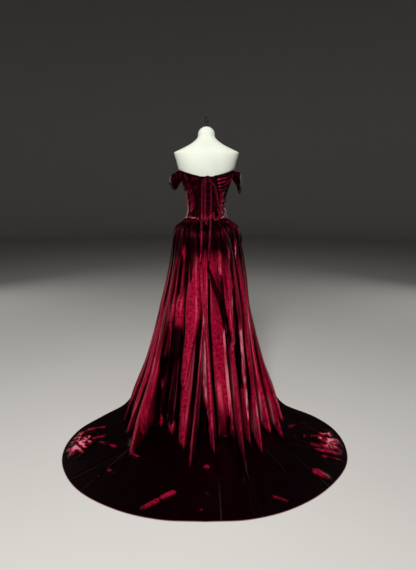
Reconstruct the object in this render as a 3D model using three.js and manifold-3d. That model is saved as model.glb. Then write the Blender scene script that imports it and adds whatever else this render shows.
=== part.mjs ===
// A floor-length off-the-shoulder velvet evening gown with a laced corset back and a court train,
// shown on a limbless dress form with a pole stand.
//
// Millimetres, +Z up. The origin is the centre of the stand's foot on the floor, under the form's
// axis. The wearer faces -Y, so the train runs out towards +Y, and +X is the wearer's left.
// Angles round the body are in degrees from the centre back, positive towards +X.

import * as THREE from "three";
import { mergeVertices } from "three/addons/utils/BufferGeometryUtils.js";
import Module from "manifold-3d";

const wasm = await Module();
wasm.setup();

// ---------- driving sizes ----------

const BODY_GAP = 2.5; // air between the form and the bodice
const BODICE_WALL = 2.6; // velvet, interlining and bones
const SKIRT_WALL = 2.4; // double velvet as the skirt hangs
const TRIM_WALL = 1.3; // ribbon and binding
const SEAM_GAP = 0.3; // between two pieces at a seam
const RIBBON_WIDTH = 13;
const LACE_WIDTH = 9;
const LACE_EYES = 7; // rouleau loops down each edge of the back opening
const FORM_COLUMNS = 28;
const BODICE_STEP = 9; // degrees between two columns of a bodice panel
const SKIRT_ROWS = 14;

// ---------- small helpers ----------

const radians = THREE.MathUtils.degToRad;
const { lerp, clamp, smoothstep } = THREE.MathUtils;
const bell = (x, width) => Math.exp(-((x / width) ** 2));

// Shortest signed difference of two angles in degrees.
const turn = (a, b) => ((((a - b) % 360) + 540) % 360) - 180;

// A smooth curve through the rows of a table: cubic between rows, read at x in column `at`.
function read(table, at, column, x) {
  const last = table.length - 1;
  if (x <= table[0][at]) return table[0][column];
  if (x >= table[last][at]) return table[last][column];
  const i = table.findIndex((row) => row[at] > x) - 1;
  const slope = (k) => {
    const low = table[Math.max(k - 1, 0)];
    const high = table[Math.min(k + 1, last)];
    return (high[column] - low[column]) / (high[at] - low[at]);
  };
  const span = table[i + 1][at] - table[i][at];
  const t = (x - table[i][at]) / span;
  const t2 = t * t;
  const t3 = t2 * t;
  return (
    (2 * t3 - 3 * t2 + 1) * table[i][column] +
    (t3 - 2 * t2 + t) * span * slope(i) +
    (3 * t2 - 2 * t3) * table[i + 1][column] +
    (t3 - t2) * span * slope(i + 1)
  );
}

// ---------- materials ----------

const cloth = (colour, roughness) =>
  new THREE.MeshStandardMaterial({ color: colour, roughness, metalness: 0 });
const VELVET = cloth(0x6e0a1e, 0.55);
const RIBBON = cloth(0x7d1026, 0.45);
const BINDING = cloth(0x1c0509, 0.6);
const FORM_CLOTH = cloth(0xe9ebe0, 0.8);
const TURNED_METAL = new THREE.MeshStandardMaterial({
  color: 0x8f8b84,
  roughness: 0.35,
  metalness: 0.9,
});

const gown = new THREE.Group();

function add(name, geometry, material) {
  const mesh = new THREE.Mesh(geometry, material);
  mesh.name = name;
  gown.add(mesh);
  return mesh;
}

// ---------- walls ----------

// A closed wall between two grids of points, outer[i][j] and inner[i][j]. i runs round the body
// with growing angle, and j runs downwards.
function wallBetween(outer, inner) {
  const across = outer.length;
  const down = outer[0].length;
  const points = [];
  for (const grid of [outer, inner])
    for (const column of grid) for (const p of column) points.push(p.x, p.y, p.z);
  const out = (i, j) => i * down + j;
  const inn = (i, j) => across * down + i * down + j;
  const faces = [];
  const quad = (a, b, c, d) => faces.push(a, b, c, a, c, d);
  for (let i = 0; i + 1 < across; i++)
    for (let j = 0; j + 1 < down; j++) {
      quad(out(i, j), out(i + 1, j), out(i + 1, j + 1), out(i, j + 1));
      quad(inn(i, j), inn(i, j + 1), inn(i + 1, j + 1), inn(i + 1, j));
    }
  for (let i = 0; i + 1 < across; i++) {
    quad(out(i, 0), inn(i, 0), inn(i + 1, 0), out(i + 1, 0));
    const j = down - 1;
    quad(out(i, j), out(i + 1, j), inn(i + 1, j), inn(i, j));
  }
  for (let j = 0; j + 1 < down; j++) {
    quad(out(0, j), out(0, j + 1), inn(0, j + 1), inn(0, j));
    const i = across - 1;
    quad(out(i, j), inn(i, j), inn(i, j + 1), out(i, j + 1));
  }
  const geometry = new THREE.BufferGeometry();
  geometry.setAttribute("position", new THREE.Float32BufferAttribute(points, 3));
  geometry.setIndex(faces);
  geometry.computeVertexNormals();
  return geometry;
}

// A grid of points from place(i, j), for i of 0..across and j of 0..down.
function gridOf(across, down, place) {
  const column = (i) => Array.from({ length: down + 1 }, (_, j) => place(i, j));
  return Array.from({ length: across + 1 }, (_, i) => column(i));
}

// The outward normal of a grid at i, j. A ring's last column meets its first.
function gridNormal(grid, i, j, ring) {
  const n = grid.length;
  const before = ring ? grid[(i + n - 1) % n][j] : grid[Math.max(i - 1, 0)][j];
  const after = ring ? grid[(i + 1) % n][j] : grid[Math.min(i + 1, n - 1)][j];
  const up = grid[i][Math.max(j - 1, 0)];
  const low = grid[i][Math.min(j + 1, grid[i].length - 1)];
  const round = new THREE.Vector3().subVectors(after, before);
  const down = new THREE.Vector3().subVectors(low, up);
  return round.cross(down).normalize();
}

// ---------- the dress form ----------

// Level rings of the torso: half width, and reach to the front and to the back of the axis.
const TORSO = [
  { z: 770, half: 140, front: 100, back: 108 },
  { z: 784, half: 154, front: 112, back: 120 },
  { z: 900, half: 160, front: 116, back: 122 },
  { z: 985, half: 141, front: 105, back: 108 },
  { z: 1048, half: 120, front: 95, back: 90 },
  { z: 1105, half: 111, front: 88, back: 79 },
  { z: 1150, half: 115, front: 94, back: 78 },
  { z: 1200, half: 124, front: 104, back: 83 },
  { z: 1245, half: 136, front: 112, back: 89 },
  { z: 1285, half: 149, front: 108, back: 95 },
  { z: 1325, half: 162, front: 96, back: 99 },
  { z: 1370, half: 174, front: 82, back: 97 },
  { z: 1408, half: 185, front: 68, back: 88 },
  { z: 1422, half: 186, front: 60, back: 80 },
  { z: 1437, half: 156, front: 54, back: 72 },
  { z: 1460, half: 108, front: 48, back: 65 },
  { z: 1484, half: 71, front: 46, back: 59 },
  { z: 1505, half: 52, front: 47, back: 53 },
  { z: 1542, half: 48, front: 48, back: 48 },
];
const BUST = { z: 1240, angle: 146, rise: 11, tall: 60, wide: 25 };
const NECK_TOP = TORSO[TORSO.length - 1].z;

// The torso ring at height z is an oval with its own front and back reach, rounder than a box and
// squarer than an ellipse, with a soft swell for the bust.
function torsoPoint(angle, z, out) {
  const oval = (a) => {
    const s = Math.sin(radians(a));
    const c = Math.cos(radians(a));
    const fuller = 1 + 0.035 * (2 * s * c) ** 2;
    const reach = read(TORSO, "z", c > 0 ? "back" : "front", z);
    const swell = bell(z - BUST.z, BUST.tall) * BUST.rise;
    const near = bell(turn(a, BUST.angle), BUST.wide) + bell(turn(a, -BUST.angle), BUST.wide);
    const cup = swell * near;
    return new THREE.Vector2(
      s * (read(TORSO, "z", "half", z) * fuller + cup),
      c * (reach * fuller + cup),
    );
  };
  const p = oval(angle);
  const along = oval(angle + 0.5).sub(oval(angle - 0.5)).normalize();
  return new THREE.Vector3(p.x - along.y * out, p.y + along.x * out, z);
}

function buildTorso() {
  const heights = [770, 777, 790, 850, 920, 980, 1015];
  for (let z = 1045; z <= 1330; z += 28) heights.push(z);
  heights.push(1355, 1385, 1408, 1418, 1426, 1437, 1449, 1464, 1484, 1505, NECK_TOP);
  const points = [];
  for (const z of heights)
    for (let i = 0; i < FORM_COLUMNS; i++) {
      const p = torsoPoint((360 * i) / FORM_COLUMNS, z, 0);
      points.push(p.x, p.y, p.z);
    }
  const foot = points.length / 3;
  points.push(0, 0, heights[0], 0, 0, NECK_TOP);
  const faces = [];
  const last = (heights.length - 1) * FORM_COLUMNS;
  for (let i = 0; i < FORM_COLUMNS; i++) {
    const next = (i + 1) % FORM_COLUMNS;
    for (let k = 0; k + 1 < heights.length; k++) {
      const a = k * FORM_COLUMNS;
      const b = a + FORM_COLUMNS;
      faces.push(a + i, b + next, a + next, a + i, b + i, b + next);
    }
    faces.push(foot, i, next, foot + 1, last + next, last + i);
  }
  const geometry = new THREE.BufferGeometry();
  geometry.setAttribute("position", new THREE.Float32BufferAttribute(points, 3));
  geometry.setIndex(faces);
  geometry.computeVertexNormals();
  return geometry;
}

// A body of revolution about +Z from rows of [radius, z], starting and ending on the axis.
function turned(profile, sides) {
  const points = profile.map(([r, z]) => new THREE.Vector2(r, z));
  return new THREE.LatheGeometry(points, sides).rotateX(Math.PI / 2);
}

const NECK_CAP = { half: 48, rise: 22 };
const POLE = { radius: 15, collar: 24, collarTall: 30 };
const FOOT = { radius: 165, edge: 8, rise: 22, hub: 30 };

function buildForm() {
  add("form_torso", buildTorso(), FORM_CLOTH);

  const capFoot = NECK_TOP + SEAM_GAP;
  const dome = Array.from({ length: 6 }, (_, k) => {
    const a = (k / 5) * (Math.PI / 2);
    return [NECK_CAP.half * Math.cos(a) ** 0.8, capFoot + NECK_CAP.rise * Math.sin(a)];
  });
  dome[5][0] = 0;
  add("form_neck_cap", turned([[0, capFoot], ...dome], 24), FORM_CLOTH);

  const z = capFoot + NECK_CAP.rise + SEAM_GAP;
  const finial = [
    [0, z], [9, z], [9, z + 4], [5, z + 8], [5.5, z + 22], [13, z + 26], [14, z + 31], [6, z + 35],
    [5, z + 42], [8.5, z + 47], [8.5, z + 52], [4, z + 58], [3, z + 68], [0, z + 71],
  ];
  add("form_finial", turned(finial, 14), TURNED_METAL);

  const poleTop = TORSO[0].z - SEAM_GAP;
  const poleFoot = FOOT.rise + FOOT.edge + SEAM_GAP;
  add(
    "stand_pole",
    turned(
      [
        [0, poleFoot], [POLE.collar, poleFoot], [POLE.collar, poleFoot + POLE.collarTall],
        [POLE.radius, poleFoot + POLE.collarTall + 6], [POLE.radius, poleTop - 12],
        [FOOT.hub, poleTop - 6], [FOOT.hub, poleTop], [0, poleTop],
      ],
      16,
    ),
    TURNED_METAL,
  );
  add(
    "stand_foot",
    turned(
      [
        [0, 0], [FOOT.radius, 0], [FOOT.radius, FOOT.edge], [FOOT.radius * 0.7, FOOT.edge + 8],
        [FOOT.hub, FOOT.edge + FOOT.rise], [0, FOOT.edge + FOOT.rise],
      ],
      32,
    ),
    TURNED_METAL,
  );
}

// ---------- the bodice ----------

// The top and bottom edges of the bodice, by angle from the centre back (0) to the centre front (180).
const EDGES = [
  { angle: 0, top: 1286, bottom: 1032 },
  { angle: 18, top: 1288, bottom: 1038 },
  { angle: 36, top: 1300, bottom: 1046 },
  { angle: 60, top: 1318, bottom: 1048 },
  { angle: 80, top: 1326, bottom: 1048 },
  { angle: 105, top: 1318, bottom: 1047 },
  { angle: 130, top: 1312, bottom: 1042 },
  { angle: 150, top: 1314, bottom: 1034 },
  { angle: 168, top: 1286, bottom: 1024 },
  { angle: 180, top: 1274, bottom: 1020 },
];
const edge = (column, angle) => read(EDGES, "angle", column, Math.abs(turn(angle, 0)));

// The bodice stands a little off the hips along its lower edge.
const hemFlare = (angle, z) => 2.4 * bell(z - edge("bottom", angle), 26);
const bodicePoint = (angle, z, out) => torsoPoint(angle, z, BODY_GAP + hemFlare(angle, z) + out);

// Seams on one side: the angle at the top edge, at the natural waist and at the bottom edge.
const SEAMS = [
  { name: "lacing", top: 16, waist: 19, bottom: 19 },
  { name: "back", top: 41, waist: 33, bottom: 32 },
  { name: "side_back", top: 58, waist: 54, bottom: 53 },
  { name: "side", top: 86, waist: 88, bottom: 88 },
  { name: "side_front", top: 142, waist: 150, bottom: 152 },
];
const WAIST_Z = 1105;

function seamAngle(seam, share) {
  const low = share < 0.5 ? seam.bottom : seam.waist;
  const high = share < 0.5 ? seam.waist : seam.top;
  const t = share < 0.5 ? share * 2 : share * 2 - 1;
  return lerp(low, high, smoothstep(t, 0, 1));
}

// One panel between two seam lines, each a function of the share of the height from the bottom.
function bodicePanel(from, to, rows) {
  const width = Math.abs(to(0.5) - from(0.5));
  const across = Math.max(2, Math.ceil(width / BODICE_STEP));
  const place = (i, j, out) => {
    const share = 1 - j / rows;
    const trim = THREE.MathUtils.radToDeg(SEAM_GAP / 2 / 110);
    const angle = lerp(from(share) + trim, to(share) - trim, i / across);
    const z = lerp(edge("bottom", angle), edge("top", angle), share);
    return bodicePoint(angle, z, out);
  };
  return wallBetween(
    gridOf(across, rows, (i, j) => place(i, j, BODICE_WALL)),
    gridOf(across, rows, (i, j) => place(i, j, 0)),
  );
}

function buildBodice() {
  for (const [side, sign] of [["left", 1], ["right", -1]])
    for (let k = 0; k + 1 < SEAMS.length; k++) {
      const near = (share) => sign * seamAngle(SEAMS[k], share);
      const far = (share) => sign * seamAngle(SEAMS[k + 1], share);
      const panel = sign > 0 ? bodicePanel(near, far, 9) : bodicePanel(far, near, 9);
      add(`bodice_${SEAMS[k + 1].name}_${side}`, panel, VELVET);
    }
  const frontSeam = SEAMS[SEAMS.length - 1];
  add(
    "bodice_centre_front",
    bodicePanel((s) => seamAngle(frontSeam, s), (s) => 360 - seamAngle(frontSeam, s), 9),
    VELVET,
  );
}

// ---------- the back opening ----------

// A strip of cloth on a path: its width lies along `side`, and its thickness along `face`.
function strip(path, width, thickness) {
  const rim = (shift, out) =>
    path.map(({ at, side, face }) =>
      at.clone().addScaledVector(side, shift * width).addScaledVector(face, out * thickness),
    );
  return wallBetween([rim(-0.5, 1), rim(0.5, 1)], [rim(-0.5, 0), rim(0.5, 0)]);
}

const asSolid = (geometry) => {
  const bare = geometry.clone();
  for (const name of Object.keys(bare.attributes))
    if (name !== "position") bare.deleteAttribute(name);
  const merged = mergeVertices(bare, 1e-4);
  return new wasm.Manifold(
    new wasm.Mesh({
      numProp: 3,
      vertProperties: new Float32Array(merged.attributes.position.array),
      triVerts: new Uint32Array(merged.index.array),
    }),
  );
};

function asGeometry(solid) {
  const mesh = solid.getMesh();
  const geometry = new THREE.BufferGeometry();
  geometry.setAttribute("position", new THREE.Float32BufferAttribute(mesh.vertProperties, 3));
  geometry.setIndex(new THREE.Uint32BufferAttribute(mesh.triVerts, 1));
  geometry.computeVertexNormals();
  return geometry;
}

// Height of lacing row k, from the top (0) down.
const laceHeight = (k) => lerp(1270, 1056, k / (LACE_EYES - 1));
const openingShare = (z) => (z - edge("bottom", 18)) / (edge("top", 18) - edge("bottom", 18));

// A narrow binding closes the top edge of the back on the left.
function buildBinding() {
  const path = Array.from({ length: 8 }, (_, i) => {
    const angle = lerp(18, 59, i / 7);
    const z = edge("top", angle) - 4;
    const at = bodicePoint(angle, z, BODICE_WALL + 1.2);
    const face = bodicePoint(angle, z, BODICE_WALL + 10).sub(at).normalize();
    const ahead = bodicePoint(angle + 1, edge("top", angle + 1) - 4, BODICE_WALL + 1.2).sub(at);
    return { at, side: ahead.cross(face).normalize(), face };
  });
  add("binding_back_left", strip(path, 6, TRIM_WALL), BINDING);
}

function buildOpening() {
  // A modesty panel fills the opening between the two laced edges.
  const half = (share) => seamAngle(SEAMS[0], share);
  const rows = 9;
  const across = 4;
  const place = (i, j, out) => {
    const share = 1 - j / rows;
    const angle = lerp(-half(share) + 0.2, half(share) - 0.2, i / across);
    const z = lerp(edge("bottom", angle) + 2, edge("top", angle) - 3, share);
    return bodicePoint(angle, z, out);
  };
  const outer = gridOf(across, rows, (i, j) => place(i, j, TRIM_WALL));
  const inner = gridOf(across, rows, (i, j) => place(i, j, 0));
  add("modesty_panel", wallBetween(outer, inner), VELVET);

  // Rouleau loops stand out of a narrow tape that lies along each edge of the opening.
  for (const [side, sign] of [["left", 1], ["right", -1]]) {
    const tape = [0, 1, 2, 3, 4, 5].map((k) => {
      const z = lerp(laceHeight(0) + 10, laceHeight(LACE_EYES - 1) - 10, k / 5);
      const angle = sign * (half(openingShare(z)) + 2.4);
      const at = bodicePoint(angle, z, BODICE_WALL + SEAM_GAP + 0.5);
      const face = bodicePoint(angle, z, BODICE_WALL + 10).sub(at).normalize();
      return { at, side: new THREE.Vector3(face.y, -face.x, 0), face };
    });
    let solid = asSolid(strip(tape, 5, TRIM_WALL));
    for (let k = 0; k < LACE_EYES; k++) {
      const z = laceHeight(k);
      const root = half(openingShare(z)) + 2.2;
      const loop = [[0, 5], [3.2, 3.6], [4.4, 0], [3.2, -3.6], [0, -5]].map(([reach, rise]) =>
        bodicePoint(sign * (root - reach), z + rise, BODICE_WALL + SEAM_GAP + 1.2),
      );
      const curve = new THREE.CatmullRomCurve3(loop);
      const round = new THREE.Shape([
        new THREE.Vector2(0.8, 0.8), new THREE.Vector2(-0.8, 0.8),
        new THREE.Vector2(-0.8, -0.8), new THREE.Vector2(0.8, -0.8),
      ]);
      solid = solid.add(asSolid(new THREE.ExtrudeGeometry(round, { steps: 3, extrudePath: curve })));
    }
    add(`lacing_loops_${side}`, asGeometry(solid), RIBBON);
  }

  // The ribbon crosses between one pair of loops and the next.
  for (let k = 0; k + 1 < LACE_EYES; k++) {
    const crossing = [1, -1].map((sign) => {
      const path = [0, 1, 2, 3].map((step) => {
        const t = step / 3;
        const z = lerp(laceHeight(k) - 5, laceHeight(k + 1) + 5, t);
        const reach = half(openingShare(z)) - 3.4;
        const angle = sign * lerp(-reach, reach, t);
        const at = bodicePoint(angle, z, TRIM_WALL + 1.6);
        const face = bodicePoint(angle, z, TRIM_WALL + 11).sub(at).normalize();
        const ahead = bodicePoint(angle + sign * 2, z - 2, TRIM_WALL + 1.6).sub(at).normalize();
        return { at, side: new THREE.Vector3().crossVectors(ahead, face).normalize(), face };
      });
      return asSolid(strip(path, LACE_WIDTH, 1));
    });
    add(`lacing_cross_${k + 1}`, asGeometry(crossing[0].add(crossing[1])), RIBBON);
  }
}

// ---------- the draped bands ----------

// A pleated band between a start and an end: the angle and the upper and lower edge at stations
// along it. The pleats run along the band and gather towards its narrow ends.
const BACK_BAND = [
  { along: 0, angleTop: -21, angleLow: -33, top: 1289, low: 1196 },
  { along: 0.35, angleTop: -38, angleLow: -46, top: 1301, low: 1202 },
  { along: 0.7, angleTop: -58, angleLow: -62, top: 1318, low: 1234 },
  { along: 0.9, angleTop: -70, angleLow: -71, top: 1323, low: 1272 },
  { along: 1, angleTop: -75, angleLow: -75, top: 1323, low: 1286 },
];
const FRONT_BAND = [
  { along: 0, angleTop: 106, angleLow: 106, top: 1316, low: 1262 },
  { along: 0.15, angleTop: 117, angleLow: 118, top: 1313, low: 1236 },
  { along: 0.32, angleTop: 135, angleLow: 136, top: 1309, low: 1212 },
  { along: 0.5, angleTop: 180, angleLow: 180, top: 1271, low: 1206 },
  { along: 0.68, angleTop: 225, angleLow: 224, top: 1309, low: 1212 },
  { along: 0.85, angleTop: 243, angleLow: 242, top: 1313, low: 1236 },
  { along: 1, angleTop: 254, angleLow: 254, top: 1316, low: 1262 },
];
const LEFT_BAND = [
  { along: 0, angleTop: 60, angleLow: 62, top: 1319, low: 1292 },
  { along: 0.5, angleTop: 67, angleLow: 68, top: 1323, low: 1276 },
  { along: 1, angleTop: 75, angleLow: 75, top: 1323, low: 1274 },
];
const BAND_LIFT = BODICE_WALL + SEAM_GAP;
const BUST_LIFT = 2.7; // the front band rides further off between its ends
const PLEAT_STEPS = 3;

// The wall's outer face rises and falls with the pleats over a smooth inside.
function pleatedBand(stations, lengthSteps, pleats, height, rise) {
  const acrossSteps = pleats * PLEAT_STEPS;
  const place = (i, j, out) => {
    const along = i / lengthSteps;
    const down = j / acrossSteps;
    const station = (name) => read(stations, "along", name, along);
    const angle = lerp(station("angleTop"), station("angleLow"), down);
    const z = lerp(station("top"), station("low"), down);
    const fold = Math.abs(Math.sin(Math.PI * pleats * down)) ** 0.8;
    const ends = smoothstep(Math.min(along, 1 - along), -0.25, 0.25);
    const lift = BAND_LIFT + rise * Math.sin(Math.PI * along) ** 0.5;
    return bodicePoint(angle, z, lift + out * (TRIM_WALL + height * fold * ends));
  };
  const outer = gridOf(lengthSteps, acrossSteps, (i, j) => place(i, j, 1));
  const inner = gridOf(lengthSteps, acrossSteps, (i, j) => place(i, j, 0));
  const backwards = stations[0].angleTop > stations[stations.length - 1].angleTop;
  return backwards ? wallBetween(outer.reverse(), inner.reverse()) : wallBetween(outer, inner);
}

// ---------- the off-the-shoulder sleeves ----------

// Edges of a limp band that falls outside the armhole, from its back root to its front root.
const SLEEVES = {
  left: [
    { along: 0, topX: 162, topY: 46, topZ: 1318, lowX: 156, lowY: 56, lowZ: 1264 },
    { along: 0.25, topX: 202, topY: 38, topZ: 1296, lowX: 184, lowY: 48, lowZ: 1218 },
    { along: 0.5, topX: 225, topY: -8, topZ: 1264, lowX: 196, lowY: -6, lowZ: 1212 },
    { along: 0.75, topX: 200, topY: -52, topZ: 1292, lowX: 182, lowY: -58, lowZ: 1216 },
    { along: 1, topX: 163, topY: -66, topZ: 1314, lowX: 154, lowY: -78, lowZ: 1262 },
  ],
  right: [
    { along: 0, topX: 167, topY: 45, topZ: 1315, lowX: 163, lowY: 53, lowZ: 1288 },
    { along: 0.25, topX: 192, topY: 38, topZ: 1308, lowX: 186, lowY: 44, lowZ: 1242 },
    { along: 0.5, topX: 208, topY: -6, topZ: 1284, lowX: 194, lowY: -4, lowZ: 1188 },
    { along: 0.75, topX: 196, topY: -52, topZ: 1298, lowX: 184, lowY: -56, lowZ: 1226 },
    { along: 1, topX: 163, topY: -68, topZ: 1312, lowX: 156, lowY: -78, lowZ: 1276 },
  ],
};
const SLEEVE_SEAT = BODICE_WALL + 0.9; // how far off the bodice's inside a sleeve end is sewn
const SLEEVE_ROOTS = { back: 77.4, front: 103 }; // where round the body both ends are sewn
const SLEEVE_FOLDS = 3.5;
const SLEEVE_STEPS = 12;
const SLEEVE_ACROSS = 5;

function sleeveBand(side) {
  const table = SLEEVES[side];
  const at = (name, along) => read(table, "along", name, along);
  const surface = gridOf(SLEEVE_STEPS, SLEEVE_ACROSS, (i, j) => {
    const along = i / SLEEVE_STEPS;
    const down = j / SLEEVE_ACROSS;
    const top = new THREE.Vector3(at("topX", along), at("topY", along), at("topZ", along));
    const low = new THREE.Vector3(at("lowX", along), at("lowY", along), at("lowZ", along));
    const p = top.lerp(low, down);
    if (i === 0) return bodicePoint(SLEEVE_ROOTS.back, p.z, SLEEVE_SEAT);
    if (i === SLEEVE_STEPS) return bodicePoint(SLEEVE_ROOTS.front, p.z, SLEEVE_SEAT);
    // Soft folds run down the band and belly outwards below its upper edge.
    const outward = new THREE.Vector3(p.x - 150, p.y, 0).normalize();
    const belly = 7 * Math.sin(Math.PI * down) * Math.sin(Math.PI * along);
    const wave = Math.cos(2 * Math.PI * SLEEVE_FOLDS * along) * Math.sin(Math.PI * along);
    const fold = 3 * wave * smoothstep(down, 0, 0.6);
    return p.addScaledVector(outward, belly + fold);
  });
  if (side === "right") surface.forEach((column) => column.forEach((p) => (p.x = -p.x)));
  // From back to front the angle grows on the left and shrinks on the right.
  if (side === "right") surface.reverse();
  const inner = gridOf(SLEEVE_STEPS, SLEEVE_ACROSS, (i, j) =>
    surface[i][j].clone().addScaledVector(gridNormal(surface, i, j, false), -2),
  );
  return wallBetween(surface, inner);
}

// ---------- the skirt ----------

// Level rings of the skirt from the hip to the knee: how far each reaches to the wearer's left and
// right, and to the front and back.
const SKIRT_RINGS = [
  { z: 1024, left: 143, right: 146, front: 112, back: 116 },
  { z: 1000, left: 170, right: 178, front: 132, back: 140 },
  { z: 960, left: 187, right: 192, front: 148, back: 162 },
  { z: 860, left: 198, right: 207, front: 166, back: 196 },
  { z: 700, left: 224, right: 228, front: 190, back: 252 },
  { z: 540, left: 262, right: 243, front: 212, back: 326 },
];

// The skirt's cut edge on the floor, by the angle round from the centre back: a place on the
// wearer's left, and how much further out it lies on the right.
const EDGE_LINE = [
  { angle: 0, x: 0, y: 1196, right: 0.94 },
  { angle: 12, x: 172, y: 1186, right: 0.94 },
  { angle: 25, x: 346, y: 1134, right: 0.94 },
  { angle: 40, x: 520, y: 1026, right: 0.94 },
  { angle: 52, x: 630, y: 880, right: 0.975 },
  { angle: 62, x: 670, y: 727, right: 0.99 },
  { angle: 70, x: 646, y: 574, right: 1.01 },
  { angle: 78, x: 562, y: 440, right: 1.03 },
  { angle: 88, x: 472, y: 310, right: 0.95 },
  { angle: 105, x: 432, y: 104, right: 0.93 },
  { angle: 130, x: 352, y: -122, right: 0.96 },
  { angle: 155, x: 196, y: -251, right: 1 },
  { angle: 180, x: 0, y: -290, right: 1 },
];

// The folds, from the wearer's left side round the back. Each ridge has its angle at the waist, at
// the knee and at the cut edge, how far it stands out at hip and knee, the place on the floor where
// its tip lands, how deep the notch after the tip is, and how high it still is on the train.
const BACK_FOLDS = [
  { waist: 98, knee: 100, edge: 97, hip: 9, mid: 16, tipX: 432, tipY: 190, notch: 24, train: 4 },
  { waist: 88, knee: 92, edge: 78, hip: 10, mid: 18, tipX: 452, tipY: 335, notch: 44, train: 12 },
  { waist: 78, knee: 85, edge: 65, hip: 8, mid: 15, tipX: 442, tipY: 505, notch: 60, train: 7 },
  { waist: 69, knee: 79, edge: 52, hip: 11, mid: 20, tipX: 404, tipY: 660, notch: 95, train: 15 },
  { waist: 59, knee: 70, edge: 42, hip: 9, mid: 17, tipX: 354, tipY: 822, notch: 150, train: 8 },
  { waist: 49, knee: 52, edge: 32, hip: 12, mid: 22, tipX: 245, tipY: 690, notch: 60, train: 14 },
  { waist: 38, knee: 39, edge: 22, hip: 8, mid: 15, tipX: 172, tipY: 735, notch: 52, train: 6 },
  { waist: 27, knee: 26, edge: 14, hip: 10, mid: 26, tipX: 108, tipY: 772, notch: 110, train: 12 },
  { waist: 14, knee: 9, edge: 6, hip: 8, mid: 17, tipX: 68, tipY: 918, notch: 165, train: 5 },
  { waist: 2, knee: -3, edge: -4, hip: 9, mid: 14, tipX: -43, tipY: 810, notch: 90, train: 13 },
  { waist: -11, knee: -17, edge: -12, hip: 11, mid: 24, tipX: -118, tipY: 806, notch: 150, train: 7 },
  { waist: -24, knee: -31, edge: -19, hip: 9, mid: 18, tipX: -172, tipY: 944, notch: 160, train: 12 },
  { waist: -37, knee: -45, edge: -29, hip: 13, mid: 27, tipX: -252, tipY: 815, notch: 110, train: 5 },
  { waist: -51, knee: -60, edge: -42, hip: 9, mid: 16, tipX: -345, tipY: 722, notch: 100, train: 14 },
  { waist: -65, knee: -73, edge: -52, hip: 11, mid: 20, tipX: -402, tipY: 612, notch: 84, train: 8 },
  { waist: -79, knee: -84, edge: -65, hip: 9, mid: 15, tipX: -426, tipY: 470, notch: 60, train: 13 },
  { waist: -91, knee: -94, edge: -79, hip: 10, mid: 18, tipX: -392, tipY: 320, notch: 34, train: 5 },
];
const FRONT_FOLDS = [
  { waist: -104, knee: -105, edge: -97, hip: 9, mid: 17, tipX: -390, tipY: 140, notch: 24, train: 2 },
  { waist: -117, knee: -117, edge: -114, hip: 10, mid: 20, tipX: -368, tipY: 2, notch: 18, train: 1 },
  { waist: -130, knee: -129, edge: -130, hip: 8, mid: 16, tipX: -334, tipY: -116, notch: 18, train: 1 },
  { waist: -143, knee: -142, edge: -144, hip: 9, mid: 21, tipX: -265, tipY: -206, notch: 16, train: 1 },
  { waist: -156, knee: -156, edge: -157, hip: 10, mid: 17, tipX: -184, tipY: -257, notch: 16, train: 1 },
  { waist: -168, knee: -169, edge: -170, hip: 8, mid: 15, tipX: -84, tipY: -285, notch: 16, train: 1 },
  { waist: -181, knee: -182, edge: -183, hip: 9, mid: 18, tipX: 24, tipY: -290, notch: 16, train: 1 },
  { waist: -194, knee: -195, edge: -196, hip: 10, mid: 16, tipX: 124, tipY: -276, notch: 16, train: 1 },
  { waist: -207, knee: -209, edge: -210, hip: 9, mid: 20, tipX: 228, tipY: -236, notch: 16, train: 1 },
  { waist: -221, knee: -223, edge: -224, hip: 8, mid: 17, tipX: 314, tipY: -168, notch: 16, train: 1 },
  { waist: -235, knee: -236, edge: -239, hip: 10, mid: 19, tipX: 382, tipY: -62, notch: 16, train: 1 },
  { waist: -249, knee: -248, edge: -253, hip: 9, mid: 16, tipX: 424, tipY: 62, notch: 16, train: 2 },
];
const FOLDS = [...BACK_FOLDS, ...FRONT_FOLDS];
const FOLD_STEPS = 4; // columns from one ridge to the next
const TRAIN_CENTRE = new THREE.Vector3(0, 150, 0); // the notches on the floor point here
const VALLEY = -0.5; // how deep a valley is for its ridges' height
const LEVELS = [
  // For each ring: how much the hip and knee columns count, and the share from waist to knee angle.
  { hip: 0.5, mid: 0, drift: 0.02 },
  { hip: 0.85, mid: 0, drift: 0.08 },
  { hip: 1, mid: 0, drift: 0.2 },
  { hip: 0.75, mid: 0.3, drift: 0.5 },
  { hip: 0.2, mid: 0.8, drift: 0.8 },
  { hip: 0, mid: 1, drift: 1 },
];
const FALL = [
  // Below the knee each thread flares: the share of its way out to the floor, by height.
  { z: 380, share: 0.22 },
  { z: 230, share: 0.48 },
  { z: 100, share: 0.79 },
  { z: 24, share: 0.94 },
];

// Fold k of the ring, counted round and round, with its angles carried on by whole turns.
function foldAt(k) {
  const n = FOLDS.length;
  const lap = Math.floor(k / n);
  const fold = FOLDS[k - lap * n];
  const shift = -360 * lap;
  return { ...fold, waist: fold.waist + shift, knee: fold.knee + shift, edge: fold.edge + shift };
}

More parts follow.
